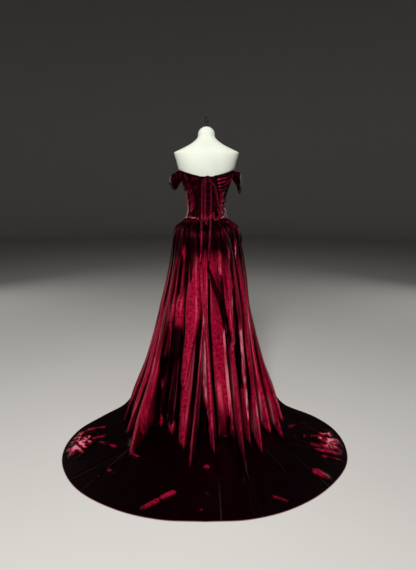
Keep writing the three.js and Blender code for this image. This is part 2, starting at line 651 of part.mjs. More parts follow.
// Everything about a thread that lies `phase` of the way from ridge k to ridge k + 1.
function threadFacts(k, phase) {
  const here = foldAt(k);
  const next = foldAt(k + 1);
  const crest = (1 + Math.cos(2 * Math.PI * phase)) / 2;
  const mixed = (name) => {
    const ridge = phase < 0.5 ? here[name] : next[name];
    const hollow = (VALLEY * (here[name] + next[name])) / 2;
    return lerp(hollow, ridge, crest);
  };
  const angle = (drift) =>
    lerp(lerp(here.waist, here.knee, drift), lerp(next.waist, next.knee, drift), phase);
  const edgeAngle = lerp(here.edge, next.edge, phase);
  const near = phase < 0.5 ? here : next;
  const tip = new THREE.Vector3(here.tipX, here.tipY, 0);
  const nextTip = new THREE.Vector3(next.tipX, next.tipY, 0);
  const landing = tip.lerp(nextTip, phase);
  const inward = TRAIN_CENTRE.clone().sub(landing).normalize();
  landing.addScaledVector(inward, here.notch * (1 - crest));
  return { mixed, angle, edgeAngle, crest, landing, train: near.train };
}

const ringPoint = (ring, angle, out) => {
  const oval = (a) => {
    const s = Math.sin(radians(a));
    const c = Math.cos(radians(a));
    // The ring is widest a little behind the axis, where the train starts to draw the cloth back.
    const centre = (ring.back - ring.front) / 2;
    const half = lerp(ring.right, ring.left, (1 + s) / 2);
    return new THREE.Vector2(half * s, centre + ((ring.back + ring.front) / 2) * c);
  };
  const p = oval(angle);
  const along = oval(angle + 0.5).sub(oval(angle - 0.5)).normalize();
  return new THREE.Vector3(p.x - along.y * out, p.y + along.x * out, ring.z);
};

// A point of the cut edge on the floor.
function edgePoint(angle) {
  const a = turn(angle, 0);
  const column = (name) => read(EDGE_LINE, "angle", name, Math.abs(a));
  return new THREE.Vector3(a < 0 ? -column("x") * column("right") : column("x"), column("y"), 0);
}

// One thread of the skirt, from the waist to the cut edge, as a smooth curve.
function thread(k, phase) {
  const { mixed, angle, edgeAngle, crest, landing, train } = threadFacts(k, phase);
  const waistAngle = angle(0);
  const points = [];
  const top = edge("bottom", waistAngle) - SEAM_GAP;
  points.push(bodicePoint(waistAngle, top, BODICE_WALL - 0.4 + 0.8 * crest).setZ(top));
  SKIRT_RINGS.forEach((ring, n) => {
    const { hip, mid, drift } = LEVELS[n];
    const p = ringPoint(ring, angle(drift), hip * mixed("hip") + mid * mixed("mid"));
    const drop = (edge("bottom", waistAngle) - 1048) * bell(ring.z - 1024, 60);
    points.push(p.setZ(ring.z + drop));
  });
  const knee = points[points.length - 1];
  for (const { z, share } of FALL) points.push(knee.clone().lerp(landing, share).setZ(z));
  const hem = edgePoint(edgeAngle);
  points.push(landing);
  const flat = clamp(hem.distanceTo(landing) / 250, 0, 1);
  for (const share of [0.35, 0.7, 1]) {
    const p = landing.clone().lerp(hem, share);
    const relief = share < 1 ? train * crest * Math.sin(Math.PI * lerp(0.1, 1, share)) : 0;
    points.push(p.setZ(flat * relief));
  }
  return new THREE.CatmullRomCurve3(points, false, "centripetal");
}

// Rows lie closer together at the gathered waist than down the skirt.
const rowShare = (j) => {
  const t = j / SKIRT_ROWS;
  return t * lerp(0.35, 1, smoothstep(t, 0, 0.45));
};

function skirtGrid() {
  const columns = [];
  for (let k = 0; k < FOLDS.length; k++)
    for (let step = 0; step < FOLD_STEPS; step++) {
      const curve = thread(k, step / FOLD_STEPS);
      columns.push(
        Array.from({ length: SKIRT_ROWS + 1 }, (_, j) => {
          const p = curve.getPointAt(rowShare(j));
          return p.setZ(Math.max(p.z, 0));
        }),
      );
    }
  // The folds are listed against the sense of growing angle.
  return columns.reverse();
}

// The skirt's seams, at the fold of the list after which each panel ends.
const SKIRT_PANELS = [
  { name: "skirt_side_left", from: 0, to: 4 },
  { name: "skirt_back_left", from: 4, to: 9 },
  { name: "skirt_back_right", from: 9, to: 13 },
  { name: "skirt_side_right", from: 13, to: 17 },
  { name: "skirt_front", from: 17, to: 29 },
];

function buildSkirt() {
  const grid = skirtGrid();
  const n = grid.length;
  const outer = grid.map((column, i) =>
    column.map((p, j) => {
      const normal = gridNormal(grid, i, j, true);
      return p.clone().setZ(Math.max(p.z, SKIRT_WALL * Math.max(normal.z, 0)));
    }),
  );
  const inner = outer.map((column, i) =>
    column.map((p, j) => {
      const q = p.clone().addScaledVector(gridNormal(grid, i, j, true), -SKIRT_WALL);
      return q.setZ(Math.max(q.z, 0));
    }),
  );
  // The column a quarter of the way from ridge k to the next, where a seam can lie.
  const column = (k) => (((n - 2 - k * FOLD_STEPS) % n) + n) % n;
  for (const { name, from, to } of SKIRT_PANELS) {
    const first = column(to);
    const count = (((column(from) - first) % n) + n) % n;
    const take = (source) => {
      const copyOf = (line) => line.map((p) => p.clone());
      const panel = Array.from({ length: count + 1 }, (_, i) => copyOf(source[(first + i) % n]));
      // Half the seam's gap comes off each edge, along the cloth.
      const nudge = (at, towards) =>
        panel[at].forEach((p, j) => {
          const away = panel[towards][j].clone().sub(p).normalize();
          p.addScaledVector(away, SEAM_GAP * 0.75);
        });
      nudge(0, 1);
      nudge(count, count - 1);
      return panel;
    };
    add(name, wallBetween(take(outer), take(inner)), VELVET);
  }
  return outer;
}

// ---------- the bow and its tails ----------

// Ribbon lines down the back: sideways place and height of each point, hung just clear of the cloth.
const BOW_LINES = {
  ribbon_tail_left: [
    { x: 4, z: 1276, lift: 5 }, { x: 20, z: 1246, lift: 5.5 }, { x: 24, z: 1180, lift: 7 },
    { x: 26, z: 1110, lift: 9 }, { x: 27, z: 1050, lift: 9 }, { x: 28, z: 985, lift: 7 },
    { x: 28, z: 920, lift: 6 }, { x: 29, z: 860, lift: 6 }, { x: 35, z: 812, lift: 6 },
  ],
  ribbon_tail_right: [
    { x: -15, z: 1276, lift: 5 }, { x: -24, z: 1246, lift: 5.5 }, { x: -27, z: 1180, lift: 7 },
    { x: -26, z: 1110, lift: 9 }, { x: -24, z: 1050, lift: 9 }, { x: -22, z: 985, lift: 10 },
    { x: -18, z: 920, lift: 8 }, { x: -14, z: 860, lift: 6 }, { x: -13, z: 816, lift: 6 },
  ],
  ribbon_loop_left: [
    { x: 3, z: 1276, lift: 7.1 }, { x: 7, z: 1230, lift: 10 }, { x: 7, z: 1160, lift: 10 },
    { x: 8, z: 1090, lift: 12 }, { x: 5, z: 1050, lift: 13 }, { x: -2, z: 1014, lift: 14 },
  ],
  ribbon_loop_right: [
    { x: -14, z: 1276, lift: 7.1 }, { x: -18, z: 1262, lift: 8 }, { x: -46, z: 1230, lift: 9 },
    { x: -56, z: 1200, lift: 9 },
    { x: -66, z: 1140, lift: 9 }, { x: -78, z: 1090, lift: 10 }, { x: -74, z: 1058, lift: 11 },
    { x: -54, z: 1040, lift: 13 }, { x: -42, z: 1058, lift: 12 }, { x: -40, z: 1084, lift: 12 },
  ],
};

// How far back the gown reaches beside x at height z.
function backSurface(skirt, x, z) {
  if (z > 1052) {
    const half = read(TORSO, "z", "half", z) + 4;
    const angle = THREE.MathUtils.radToDeg(Math.asin(clamp(x / half, -1, 1)));
    return bodicePoint(angle, z, BODICE_WALL).y;
  }
  let reach = 0;
  for (const column of skirt)
    for (let j = 0; j + 1 < column.length; j++) {
      const a = column[j];
      const b = column[j + 1];
      if (a.y < 0 || Math.abs(a.x - x) > 16 || a.z < z || b.z > z) continue;
      reach = Math.max(reach, lerp(a.y, b.y, (a.z - z) / (a.z - b.z)));
    }
  return Math.max(reach, bodicePoint(0, 1052, BODICE_WALL).y);
}

function buildBow(skirt) {
  for (const [name, line] of Object.entries(BOW_LINES)) {
    const curve = new THREE.CatmullRomCurve3(
      line.map(({ x, z, lift }) => new THREE.Vector3(x, backSurface(skirt, x, z) + lift, z)),
      false,
      "centripetal",
    );
    const steps = line.length * 2;
    const path = Array.from({ length: steps + 1 }, (_, i) => {
      const at = curve.getPointAt(i / steps);
      const ahead = curve.getTangentAt(i / steps);
      const face = new THREE.Vector3(at.x * 0.004, 1, 0.15).normalize();
      const side = new THREE.Vector3().crossVectors(ahead, face).normalize();
      return { at, side, face };
    });
    add(name, strip(path, RIBBON_WIDTH, TRIM_WALL), RIBBON);
  }
  const y = backSurface(skirt, 0, 1283);
  const knot = new THREE.SphereGeometry(1, 12, 8).scale(17, 6, 8.6);
  add("ribbon_knot", knot.translate(-6, y + 5.3, 1283.9), RIBBON);
}

// ---------- assembly ----------

buildForm();
buildBodice();
buildBinding();
buildOpening();
add("drape_back_right", pleatedBand(BACK_BAND, 7, 5, 7, 0.4), VELVET);
add("drape_front", pleatedBand(FRONT_BAND, 14, 5, 7, BUST_LIFT), VELVET);
add("drape_end_left", pleatedBand(LEFT_BAND, 3, 3, 5, 0.4), VELVET);
add("sleeve_left", sleeveBand("left"), VELVET);
add("sleeve_right", sleeveBand("right"), VELVET);
buildBow(buildSkirt());

export default gown;
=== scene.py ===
"""A velvet off-the-shoulder evening gown with a laced back and a round train, on a dress form.

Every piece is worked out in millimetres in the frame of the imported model: +Z up, the origin under
the form on the floor, +X the wearer's left, and the train runs out towards +Y. Angles round the
body are in degrees from the centre back, positive towards +X.
"""

import math
from functools import partial

import bpy
import numpy as np
from bpy.props import FloatProperty, FloatVectorProperty, IntProperty, PointerProperty
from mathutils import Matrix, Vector


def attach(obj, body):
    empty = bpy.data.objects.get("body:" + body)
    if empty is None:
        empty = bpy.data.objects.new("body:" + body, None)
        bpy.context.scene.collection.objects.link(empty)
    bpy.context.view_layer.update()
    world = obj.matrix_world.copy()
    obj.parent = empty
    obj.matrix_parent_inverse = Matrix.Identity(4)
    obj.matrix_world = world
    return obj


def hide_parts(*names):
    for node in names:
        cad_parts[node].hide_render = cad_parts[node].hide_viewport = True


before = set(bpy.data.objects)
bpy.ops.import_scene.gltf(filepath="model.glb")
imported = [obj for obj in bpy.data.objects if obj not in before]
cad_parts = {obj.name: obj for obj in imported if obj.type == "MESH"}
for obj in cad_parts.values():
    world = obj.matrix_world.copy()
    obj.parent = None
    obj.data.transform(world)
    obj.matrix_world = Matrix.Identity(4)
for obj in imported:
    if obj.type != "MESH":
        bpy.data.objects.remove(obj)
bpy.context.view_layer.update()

bl_info = {
    "name": "Velvet gown on a dress form",
    "version": (1, 0, 0),
    "blender": (4, 5, 0),
    "location": "View3D > Sidebar > Gown",
    "description": "Builds the gown's cloth, its trim, the dress form and the studio round it",
    "category": "Object",
}

# ---------- small helpers ----------


def table(names, *rows):
    """Named columns from short rows."""
    return {name: np.array(column, float) for name, column in zip(names.split(), zip(*rows))}


def lerp(a, b, t):
    return a + (b - a) * t


def ease(x, low, high):
    """0 below low, 1 above high, and a smooth S between: 3t^2 - 2t^3."""
    t = np.clip((x - low) / (high - low), 0, 1)
    return t * t * (3 - 2 * t)


def bell(x, width):
    return np.exp(-((x / width) ** 2))


def turn(a):
    """An angle as -180 to 180 degrees."""
    return (a + 180) % 360 - 180


def read(rows, at, column, x):
    """A smooth curve through a table's rows: cubic between two rows, with slopes from their
    neighbours, and level past both ends."""
    xs, ys = rows[at], rows[column]
    last = len(xs) - 1
    k = np.arange(last + 1)
    low, high = np.maximum(k - 1, 0), np.minimum(k + 1, last)
    slope = (ys[high] - ys[low]) / (xs[high] - xs[low])
    x = np.clip(x, xs[0], xs[-1])
    i = np.clip(np.searchsorted(xs, x, side="right") - 1, 0, last - 1)
    span = xs[i + 1] - xs[i]
    t = (x - xs[i]) / span
    return (
        (2 * t**3 - 3 * t**2 + 1) * ys[i]
        + (t**3 - 2 * t**2 + t) * span * slope[i]
        + (3 * t**2 - 2 * t**3) * ys[i + 1]
        + (t**3 - t**2) * span * slope[i + 1]
    )


def uneven(u, v, step_u, step_v, seed):
    """Smooth unevenness from -1 to 1: seeded numbers on a lattice of the given steps, eased
    between their neighbours."""
    lattice = np.random.default_rng(seed).uniform(-1, 1, (256, 256))
    a, b = np.broadcast_arrays(u / step_u, v / step_v)
    i, j = np.floor(a).astype(int), np.floor(b).astype(int)
    s, t = ease(a - i, 0, 1), ease(b - j, 0, 1)
    at = lambda p, q: lattice[(i + p) % 256, (j + q) % 256]
    return lerp(lerp(at(0, 0), at(1, 0), s), lerp(at(0, 1), at(1, 1), s), t)


def unit(v):
    return v / np.maximum(np.linalg.norm(v, axis=-1, keepdims=True), 1e-9)


def stack(*columns):
    return np.stack(np.broadcast_arrays(*columns), axis=-1).astype(float)


def smooth_lines(knots, per_span):
    """Centripetal Catmull-Rom curves through knots[line, knot, axis]: in each span the knots are
    spaced by the root of their distance, which keeps the curve from overshooting."""
    first = 2 * knots[:, :1] - knots[:, 1:2]
    last = 2 * knots[:, -1:] - knots[:, -2:-1]
    p = np.concatenate([first, knots, last], axis=1)
    gap = np.maximum(np.sum(np.diff(p, axis=1) ** 2, axis=2) ** 0.25, 1e-4)[..., None]
    d0, d1, d2 = gap[:, :-2], gap[:, 1:-1], gap[:, 2:]
    p0, p1, p2, p3 = p[:, :-3], p[:, 1:-2], p[:, 2:-1], p[:, 3:]
    t1 = ((p1 - p0) / d0 - (p2 - p0) / (d0 + d1) + (p2 - p1) / d1) * d1
    t2 = ((p2 - p1) / d1 - (p3 - p1) / (d1 + d2) + (p3 - p2) / d2) * d1
    t = np.linspace(0, 1, per_span, endpoint=False)[:, None]
    span = lambda a: a[:, :, None, :]
    line = (
        (2 * t**3 - 3 * t**2 + 1) * span(p1)
        + (t**3 - 2 * t**2 + t) * span(t1)
        + (3 * t**2 - 2 * t**3) * span(p2)
        + (t**3 - t**2) * span(t2)
    )
    line = line.reshape(len(knots), -1, knots.shape[2])
    return np.concatenate([line, knots[:, -1:]], axis=1)


def respaced(lines, shares):
    """The points of each line at the given shares of its own length, which counts x, y and z."""
    steps = np.linalg.norm(np.diff(lines[..., :3], axis=1), axis=2)
    along = np.concatenate([np.zeros((len(lines), 1)), np.cumsum(steps, axis=1)], axis=1)
    along /= along[:, -1:]
    return np.array(
        [[np.interp(shares, s, values) for values in line.T] for s, line in zip(along, lines)]
    ).transpose(0, 2, 1)


# ---------- meshes ----------

TUBE_LEAD = np.array([0.05, 1.0, 0.1])  # not quite square to any tube, so its rings never flip


def put_mesh(name, points, quads, tris=(), flat_from=None, uv=None, attributes=()):
    """One mesh object from whole arrays. points are in mm; uv and attributes have one row a point.
    Faces from number flat_from on are shaded flat, so that a cut edge doesn't smear the cloth."""
    quads, tris = np.array(quads, int).reshape(-1, 4), np.array(tris, int).reshape(-1, 3)
    mesh = bpy.data.meshes.new(name)
    mesh.vertices.add(len(points))
    mesh.vertices.foreach_set("co", (np.asarray(points) / 1000).ravel())
    corners = np.concatenate([quads.ravel(), tris.ravel()])
    starts = np.concatenate([np.arange(len(quads)) * 4, quads.size + np.arange(len(tris)) * 3])
    mesh.loops.add(len(corners))
    mesh.loops.foreach_set("vertex_index", corners)
    mesh.polygons.add(len(starts))
    mesh.polygons.foreach_set("loop_start", starts)
    smooth = np.ones(len(starts), bool)
    if flat_from is not None:
        smooth[flat_from:] = False
    mesh.polygons.foreach_set("use_smooth", smooth)
    if uv is not None:
        layer = mesh.uv_layers.new(name="cloth")
        layer.data.foreach_set("uv", np.asarray(uv)[corners].astype(float).ravel())
    for key, values in dict(attributes).items():
        mesh.attributes.new(key, "FLOAT", "POINT").data.foreach_set("value", np.ravel(values))
    mesh.update(calc_edges=True)
    mesh.validate()
    piece = bpy.data.objects.new(name, mesh)
    bpy.context.scene.collection.objects.link(piece)
    return piece


def grid_normals(grid, ring=False):
    """Outward normals of grid[round, down]: the step round crossed with the step down."""
    if ring:
        across = np.roll(grid, -1, axis=0) - np.roll(grid, 1, axis=0)
    else:
        across = np.gradient(grid, axis=0)
    return unit(np.cross(across, np.gradient(grid, axis=1)))


def quads_of(index):
    """The quads between neighbours in a grid of point numbers. They face outwards where the grid is
    index[round, down]."""
    corners = [index[:-1, :-1], index[1:, :-1], index[1:, 1:], index[:-1, 1:]]
    return np.stack(corners, axis=-1).reshape(-1, 4)


def shell(name, outer, wall, normals=None, shade=0.0):
    """A thin closed shell of cloth: the grid outer[round, down], the same grid a wall further in,
    and rims that join them. The uv map is in metres of cloth, across and down."""
    normals = grid_normals(outer) if normals is None else normals
    inner = outer - normals * wall
    inner[..., 2] = np.maximum(inner[..., 2], 0)
    across, down = outer.shape[:2]
    out = np.arange(across * down).reshape(across, down)
    inn = out + across * down
    # A rim joins an outer edge to the inner one, stacked along the axis that turns it outwards.
    rims = (
        (0, out[:, 0], inn[:, 0]), (1, out[:, -1], inn[:, -1]),
        (1, out[0], inn[0]), (0, out[-1], inn[-1]),
    )
    skin = np.concatenate([quads_of(out), quads_of(inn.T)])
    rim = [quads_of(np.stack(pair, axis=axis)) for axis, *pair in rims]
    steps = np.linalg.norm(np.diff(outer, axis=1), axis=2).mean(axis=0)
    width = np.linalg.norm(np.diff(outer, axis=0), axis=2).mean(axis=1)
    u, v = (np.concatenate([[0], np.cumsum(lengths)]) / 1000 for lengths in (width, steps))
    uv = np.stack(np.meshgrid(u, v, indexing="ij"), axis=-1).reshape(-1, 2)
    # The painted shade of each point goes to both skins as the attribute "shade".
    dark = np.broadcast_to(shade, (across, down)).ravel()
    return put_mesh(
        name,
        np.concatenate([outer.reshape(-1, 3), inner.reshape(-1, 3)]),
        np.concatenate([skin, *rim]),
        flat_from=len(skin),
        uv=np.concatenate([uv, uv]),
        attributes={"shade": np.concatenate([dark, dark])},
    )


def body_of_rings(name, rings):
    """A closed body from rings[level, round], lowest first, with a point at each end."""
    levels, around = rings.shape[:2]
    wrap = np.pad(np.arange(levels * around).reshape(levels, around), ((0, 0), (0, 1)), mode="wrap")
    ends = np.array([rings[0].mean(axis=0), rings[-1].mean(axis=0)])
    foot = np.full(around, levels * around)
    tris = [
        np.stack([foot, wrap[0, 1:], wrap[0, :-1]], axis=-1),
        np.stack([foot + 1, wrap[-1, :-1], wrap[-1, 1:]], axis=-1),
    ]
    points = np.concatenate([rings.reshape(-1, 3), ends])
    return put_mesh(name, points, quads_of(wrap.T), np.concatenate(tris))


def turned(name, profile, sides):
    """A body of revolution: rings of the profile's radii at its heights."""
    a = np.radians(np.arange(sides) * 360 / sides)
    r, z = profile[:, :1], profile[:, 1:]
    return body_of_rings(name, stack(r * np.cos(a), r * np.sin(a), z + 0 * a))


def tube_points(line, radius, sides):
    """Rings round a line: radius times (side cos a + face sin a) at each of its points."""
    ahead = unit(np.gradient(line, axis=0))
    side = unit(np.cross(ahead, TUBE_LEAD))
    face = np.cross(side, ahead)
    a = (np.arange(sides) * 2 * np.pi / sides)[:, None]
    return line[:, None] + radius * (side[:, None] * np.cos(a) + face[:, None] * np.sin(a))


def strip(line, side, face, width, thickness, crown=0.0):
    """The outer grid of a ribbon on a line: across its width, and bowed by crown in the middle."""
    t = np.linspace(-0.5, 0.5, 9)[:, None, None]
    return line + t * width * side + (thickness + crown * (1 - (2 * t) ** 2)) * face


# ---------- materials ----------


def hex_colour(code):
    """sRGB hex to linear red, green, blue."""
    s = np.array([int(code[k : k + 2], 16) for k in (0, 2, 4)]) / 255
    return tuple(np.where(s <= 0.04045, s / 12.92, ((s + 0.055) / 1.055) ** 2.4))


def dimmed(colour, share):
    return [share * value for value in colour]


def add_node(tree, kind, **settings):
    """Adds a node. A setting is one of its properties, or an input's value, source node or source
    socket; an underscore in an input's name stands for a space."""
    made = tree.nodes.new(kind)
    for key, value in settings.items():
        if not hasattr(made, key):
            sockets = {socket.identifier: socket for socket in made.inputs}
            socket = sockets.get(key) or sockets[key.replace("_", " ")]
            if isinstance(value, bpy.types.Node):
                value = next(output for output in value.outputs if output.enabled)
            if isinstance(value, bpy.types.NodeSocket):
                tree.links.new(value, socket)
            elif socket.type == "RGBA":
                socket.default_value = (*value, 1)
            else:
                socket.default_value = value
        else:
            setattr(made, key, value)
    return made


def empty_material(name):
    """A material with an empty tree, and add_node set to work in it."""
    material = bpy.data.materials.new(name)
    material.use_nodes = True
    material.node_tree.nodes.clear()
    return material, partial(add_node, material.node_tree)


def velvet_material(colours):
    """Panne velvet, a silky pile pressed flat. Its light and shade are painted in by the attribute
    "shade": 1 for painted shade, near-black, 0 for the lit crimson and -1 for a painted pale pink
    highlight along crisp crests."""
    material, node = empty_material("panne_velvet")
    cloth = node("ShaderNodeUVMap", uv_map="cloth")
    down = node("ShaderNodeMapping", Vector=cloth, Scale=(1, 0.4, 1))
    # Crushed places of about 40 mm across and 100 mm down, streaks of 9 mm, a mottled nap of 16 mm
    # and finer, and its grain of 4 mm, which is drawn coarser than a real pile so that it shows.
    crush = node("ShaderNodeTexNoise", Vector=down, Scale=24, Detail=3, Distortion=0.8)
    streak = node("ShaderNodeTexNoise", Vector=down, Scale=110, Detail=2)
    grain = node("ShaderNodeTexNoise", Vector=cloth, Scale=230, Detail=2)
    nap = node("ShaderNodeTexNoise", Vector=cloth, Scale=62, Detail=5, Roughness=0.72)
    # The painted shade and painted highlight of each point, from the attribute "shade".
    shade = node("ShaderNodeAttribute", attribute_name="shade").outputs["Fac"]
    # The nap noise breaks up the edge of the painted shade: shade + 0.9 nap.
    shade = node("ShaderNodeMath", operation="MULTIPLY_ADD", Value=nap, Value_001=0.9, Value_002=shade)
    # Each colour covers the one before it as its guide goes from the first number to the second: the
    # pile's random mottle, then the painted shade, then the painted pale highlight.
    base = colours.velvet_deep
    for guide, start, end, colour in (
        (nap, 0.38, 0.62, colours.velvet),
        (shade, 0.55, 1.25, colours.velvet_shade),
        (shade, 0.2, -0.45, colours.velvet_painted_highlight),
    ):
        share = node("ShaderNodeMapRange", Value=guide, From_Min=start, From_Max=end)
        base = node("ShaderNodeMix", data_type="RGBA", Factor_Float=share, A_Color=base, B_Color=colour)
    # Painted shade: where shade is painted, the gloss, sheen and coat are turned down too.
    under_painted_shade = {"Value": shade, "From_Min": 0.5, "From_Max": 1.2}
    gloss = node("ShaderNodeMapRange", To_Min=0.38, To_Max=0.14, **under_painted_shade)
    bloom = node("ShaderNodeMapRange", To_Min=0.07, To_Max=0.012, **under_painted_shade)
    relief = {}
    for height, strength, depth in ((crush, 0.45, 0.004), (streak, 0.3, 0.0012), (grain, 0.5, 0.0009)):
        bump = node("ShaderNodeBump", Strength=strength, Distance=depth, Height=height, **relief)
        relief = {"Normal": bump}
    shader = node(
        "ShaderNodeBsdfPrincipled",
        Base_Color=base,
        Roughness=node("ShaderNodeMapRange", Value=crush, To_Min=0.3, To_Max=0.42),
        IOR=1.5,
        Specular_IOR_Level=gloss,
        Specular_Tint=colours.gloss,
        Sheen_Weight=bloom,
        Sheen_Roughness=0.28,
        Sheen_Tint=colours.sheen,
        Coat_Weight=bloom,
        Coat_Roughness=0.26,
        Coat_Tint=colours.sheen,
        **relief,
    )
    node("ShaderNodeOutputMaterial", Surface=shader)
    return material


def ribbon_material(colours):
    """Satin ribbon, woven with a fine rib across: smooth and glossy, darker in soft random patches."""
    material, node = empty_material("satin_ribbon")
    cloth = node("ShaderNodeUVMap", uv_map="cloth")
    # Ribs every 1.6 mm, coarser than real ones so that they show.
    rib = node("ShaderNodeTexWave", Vector=cloth, Scale=100, Distortion=1.5, bands_direction="Y")
    patchiness = node("ShaderNodeTexNoise", Vector=cloth, Scale=60, Detail=2)
    base = node(
        "ShaderNodeMix",
        data_type="RGBA",
        Factor_Float=node("ShaderNodeMapRange", Value=patchiness, From_Min=0.38, From_Max=0.6),
        A_Color=dimmed(colours.ribbon, 0.3),
        B_Color=colours.ribbon,
    )
    shader = node(
        "ShaderNodeBsdfPrincipled",
        Base_Color=base,
        Roughness=node("ShaderNodeMapRange", Value=patchiness, To_Min=0.28, To_Max=0.45),
        Normal=node("ShaderNodeBump", Strength=0.25, Distance=0.0003, Height=rib),
        IOR=1.5,
        Specular_IOR_Level=0.5,
        Specular_Tint=colours.gloss,
        Sheen_Weight=0.1,
        Sheen_Tint=colours.sheen,
    )
    node("ShaderNodeOutputMaterial", Surface=shader)
    return material


def plain_material(name, dark, light, patches, rough, grain_mm=None, **finish):
    """A material without a nap: from its dark to its light colour in soft patches, which also go
    from one roughness to another, over a fine grain where its size is given."""
    material, node = empty_material(name)
    place = node("ShaderNodeTexCoord").outputs["Object"]
    patch = node("ShaderNodeTexNoise", Vector=place, **patches)
    if grain_mm:
        grain = node("ShaderNodeTexNoise", Vector=place, Scale=1000 / grain_mm, Detail=1)
        finish["Normal"] = node("ShaderNodeBump", Strength=0.15, Distance=0.0004, Height=grain)
    base = node("ShaderNodeMix", data_type="RGBA", Factor_Float=patch, A_Color=dark, B_Color=light)
    roughness = node("ShaderNodeMapRange", Value=patch, To_Min=rough[0], To_Max=rough[1])
    shader = node("ShaderNodeBsdfPrincipled", Base_Color=base, Roughness=roughness, **finish)
    node("ShaderNodeOutputMaterial", Surface=shader)
    return material


def cloth_material(name, colour, grain_mm, rough):
    """A close-woven or knitted cloth: soft, even and nearly matt."""
    return plain_material(
        name,
        dimmed(colour, 0.82),
        colour,
        {"Scale": 9, "Detail": 2},
        (rough - 0.06, rough + 0.06),
        grain_mm,
        Specular_IOR_Level=0.25,
        Specular_Tint=colour,
        Sheen_Weight=0.08,
        Sheen_Tint=colour,
    )


def metal_material(name, colour):
    """Turned steel under dark bronze lacquer: satin, worn a little brighter in soft patches."""
    patches = {"Scale": 40, "Detail": 3}
    return plain_material(name, dimmed(colour, 0.5), colour, patches, (0.28, 0.42), Metallic=0.8)


def bead_material(name, dark, light):
    """Cut glass seed beads, wine-red to pink, with a hard bright point on each."""
    patches = {"Scale": 180, "Detail": 1}
    return plain_material(name, dark, light, patches, (0.08, 0.2), IOR=1.55, Coat_Weight=0.6)


def floor_material(name, colour):
    """Matt pale vinyl studio floor with the faintest cloudiness."""
    dark, patches = dimmed(colour, 0.94), {"Scale": 1.5, "Detail": 2}
    return plain_material(name, dark, colour, patches, (0.8, 0.9), Specular_IOR_Level=0.1)


def finish_piece(piece, material, nodes=()):
    """Gives a piece its material, lets it ride with the body and stand for its CAD nodes."""
    piece.data.materials.append(material)
    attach(piece, "root")
    if nodes:
        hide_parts(*nodes)
    return piece


# ---------- the dress form ----------

SEAM_GAP = 0.3

TORSO = table(
    "z half front back",
    (770, 140, 100, 108), (784, 154, 112, 120), (900, 160, 116, 122), (985, 141, 105, 108),
    (1048, 120, 95, 90), (1105, 111, 88, 79), (1150, 115, 94, 78), (1200, 124, 104, 83),
    (1245, 136, 112, 89), (1285, 149, 108, 95), (1325, 162, 96, 99), (1370, 174, 82, 97),
    (1408, 185, 68, 88), (1422, 186, 60, 80), (1437, 156, 54, 72), (1460, 108, 48, 65),
    (1484, 71, 46, 59), (1505, 51, 47, 52), (1522, 48.6, 48, 48.6),
    (1532, 46.6, 46.4, 46.6), (1542, 42.4, 42.4, 42.4),
)
BUST = {"z": 1240, "angle": 146, "rise": 11, "tall": 60, "wide": 25}
NECK_TOP = 1542
CAP = {"half": 48.6, "tall": 45, "sunk": 22, "top": 22.3}
FINIAL = (  # radius and height above the cap
    (9, 0), (9, 3.6), (5.4, 7), (4.8, 14), (6, 21), (12.6, 25.4), (14, 28.6), (12, 32.4), (6, 35.4),
    (5, 41), (8, 45.6), (8.9, 49.6), (7.6, 53), (4, 57), (3, 63), (2.2, 68), (0.4, 70.8),
)
POLE = (
    (24, 30.3), (24, 58), (23, 60.3), (15.6, 66), (15, 68), (15, 757.7), (17, 758.5), (29, 763.7),
    (30, 764.7), (30, 769.7),
)
FOOT = (
    (164, 0), (165, 1), (165, 7), (164, 8.4), (150, 10.4), (115.5, 16), (40, 28), (32, 29.6), (30, 30),
)


def plan_offset(curve, angle, out):
    """The point of a plan curve at an angle, pushed out along the curve's own normal."""
    x, y = curve(angle)
    ax, ay = curve(angle + 0.5)
    bx, by = curve(angle - 0.5)
    dx, dy = ax - bx, ay - by
    long = np.hypot(dx, dy)
    return x - dy / long * out, y + dx / long * out


def torso_point(angle, z, out):
    """A level oval, squarer than an ellipse by 3.5 percent at its corners, with its own reach to
    front and back and two soft swells for the bust, then out along its normal."""

    def oval(a):
        s, c = np.sin(np.radians(a)), np.cos(np.radians(a))
        fuller = 1 + 0.035 * (2 * s * c) ** 2
        reach = np.where(c > 0, read(TORSO, "z", "back", z), read(TORSO, "z", "front", z))
        swell = bell(z - BUST["z"], BUST["tall"]) * BUST["rise"]
        cups = bell(turn(a - BUST["angle"]), BUST["wide"]) + bell(turn(a + BUST["angle"]), BUST["wide"])
        return (
            s * (read(TORSO, "z", "half", z) * fuller + swell * cups),
            c * (reach * fuller + swell * cups),
        )

    x, y = plan_offset(oval, angle, out)
    return stack(x, y, z)


def make_form(materials):
    """Rings of the torso, closer together over the shoulders and neck, and four turned bodies."""
    angles = np.arange(144) * 2.5
    heights = np.concatenate([np.linspace(770, 1395, 90), np.linspace(1398, NECK_TOP, 62)])
    rings = torso_point(-angles[None], heights[:, None], 0.0)
    torso = body_of_rings("form_body", rings[:, ::-1])
    finish_piece(torso, materials["form"], ["form_torso"])

    # The cap carries on the neck's rounding: half sqrt(1 - ((z + sunk) / tall)^2).
    z = np.linspace(SEAM_GAP, CAP["top"], 20)
    dome = CAP["half"] * np.sqrt(1 - ((z + CAP["sunk"]) / CAP["tall"]) ** 2)
    cap = turned("neck_cap", np.stack([dome, NECK_TOP + z], axis=1), 72)
    finish_piece(cap, materials["form"], ["form_neck_cap"])

    knots = np.array(FINIAL)
    foot = NECK_TOP + CAP["top"] + SEAM_GAP
    finial = smooth_lines(stack(knots[:, 0], 0, knots[:, 1] + foot)[None], 6)[0][:, [0, 2]]
    finial[:, 0] = np.maximum(finial[:, 0], 0.4)
    for name, profile, sides, node in (
        ("neck_finial", finial, 48, "form_finial"),
        ("display_pole", np.array(POLE), 48, "stand_pole"),
        ("display_foot", np.array(FOOT), 96, "stand_foot"),
    ):
        finish_piece(turned(name, profile, sides), materials["metal"], [node])


# ---------- the bodice ----------

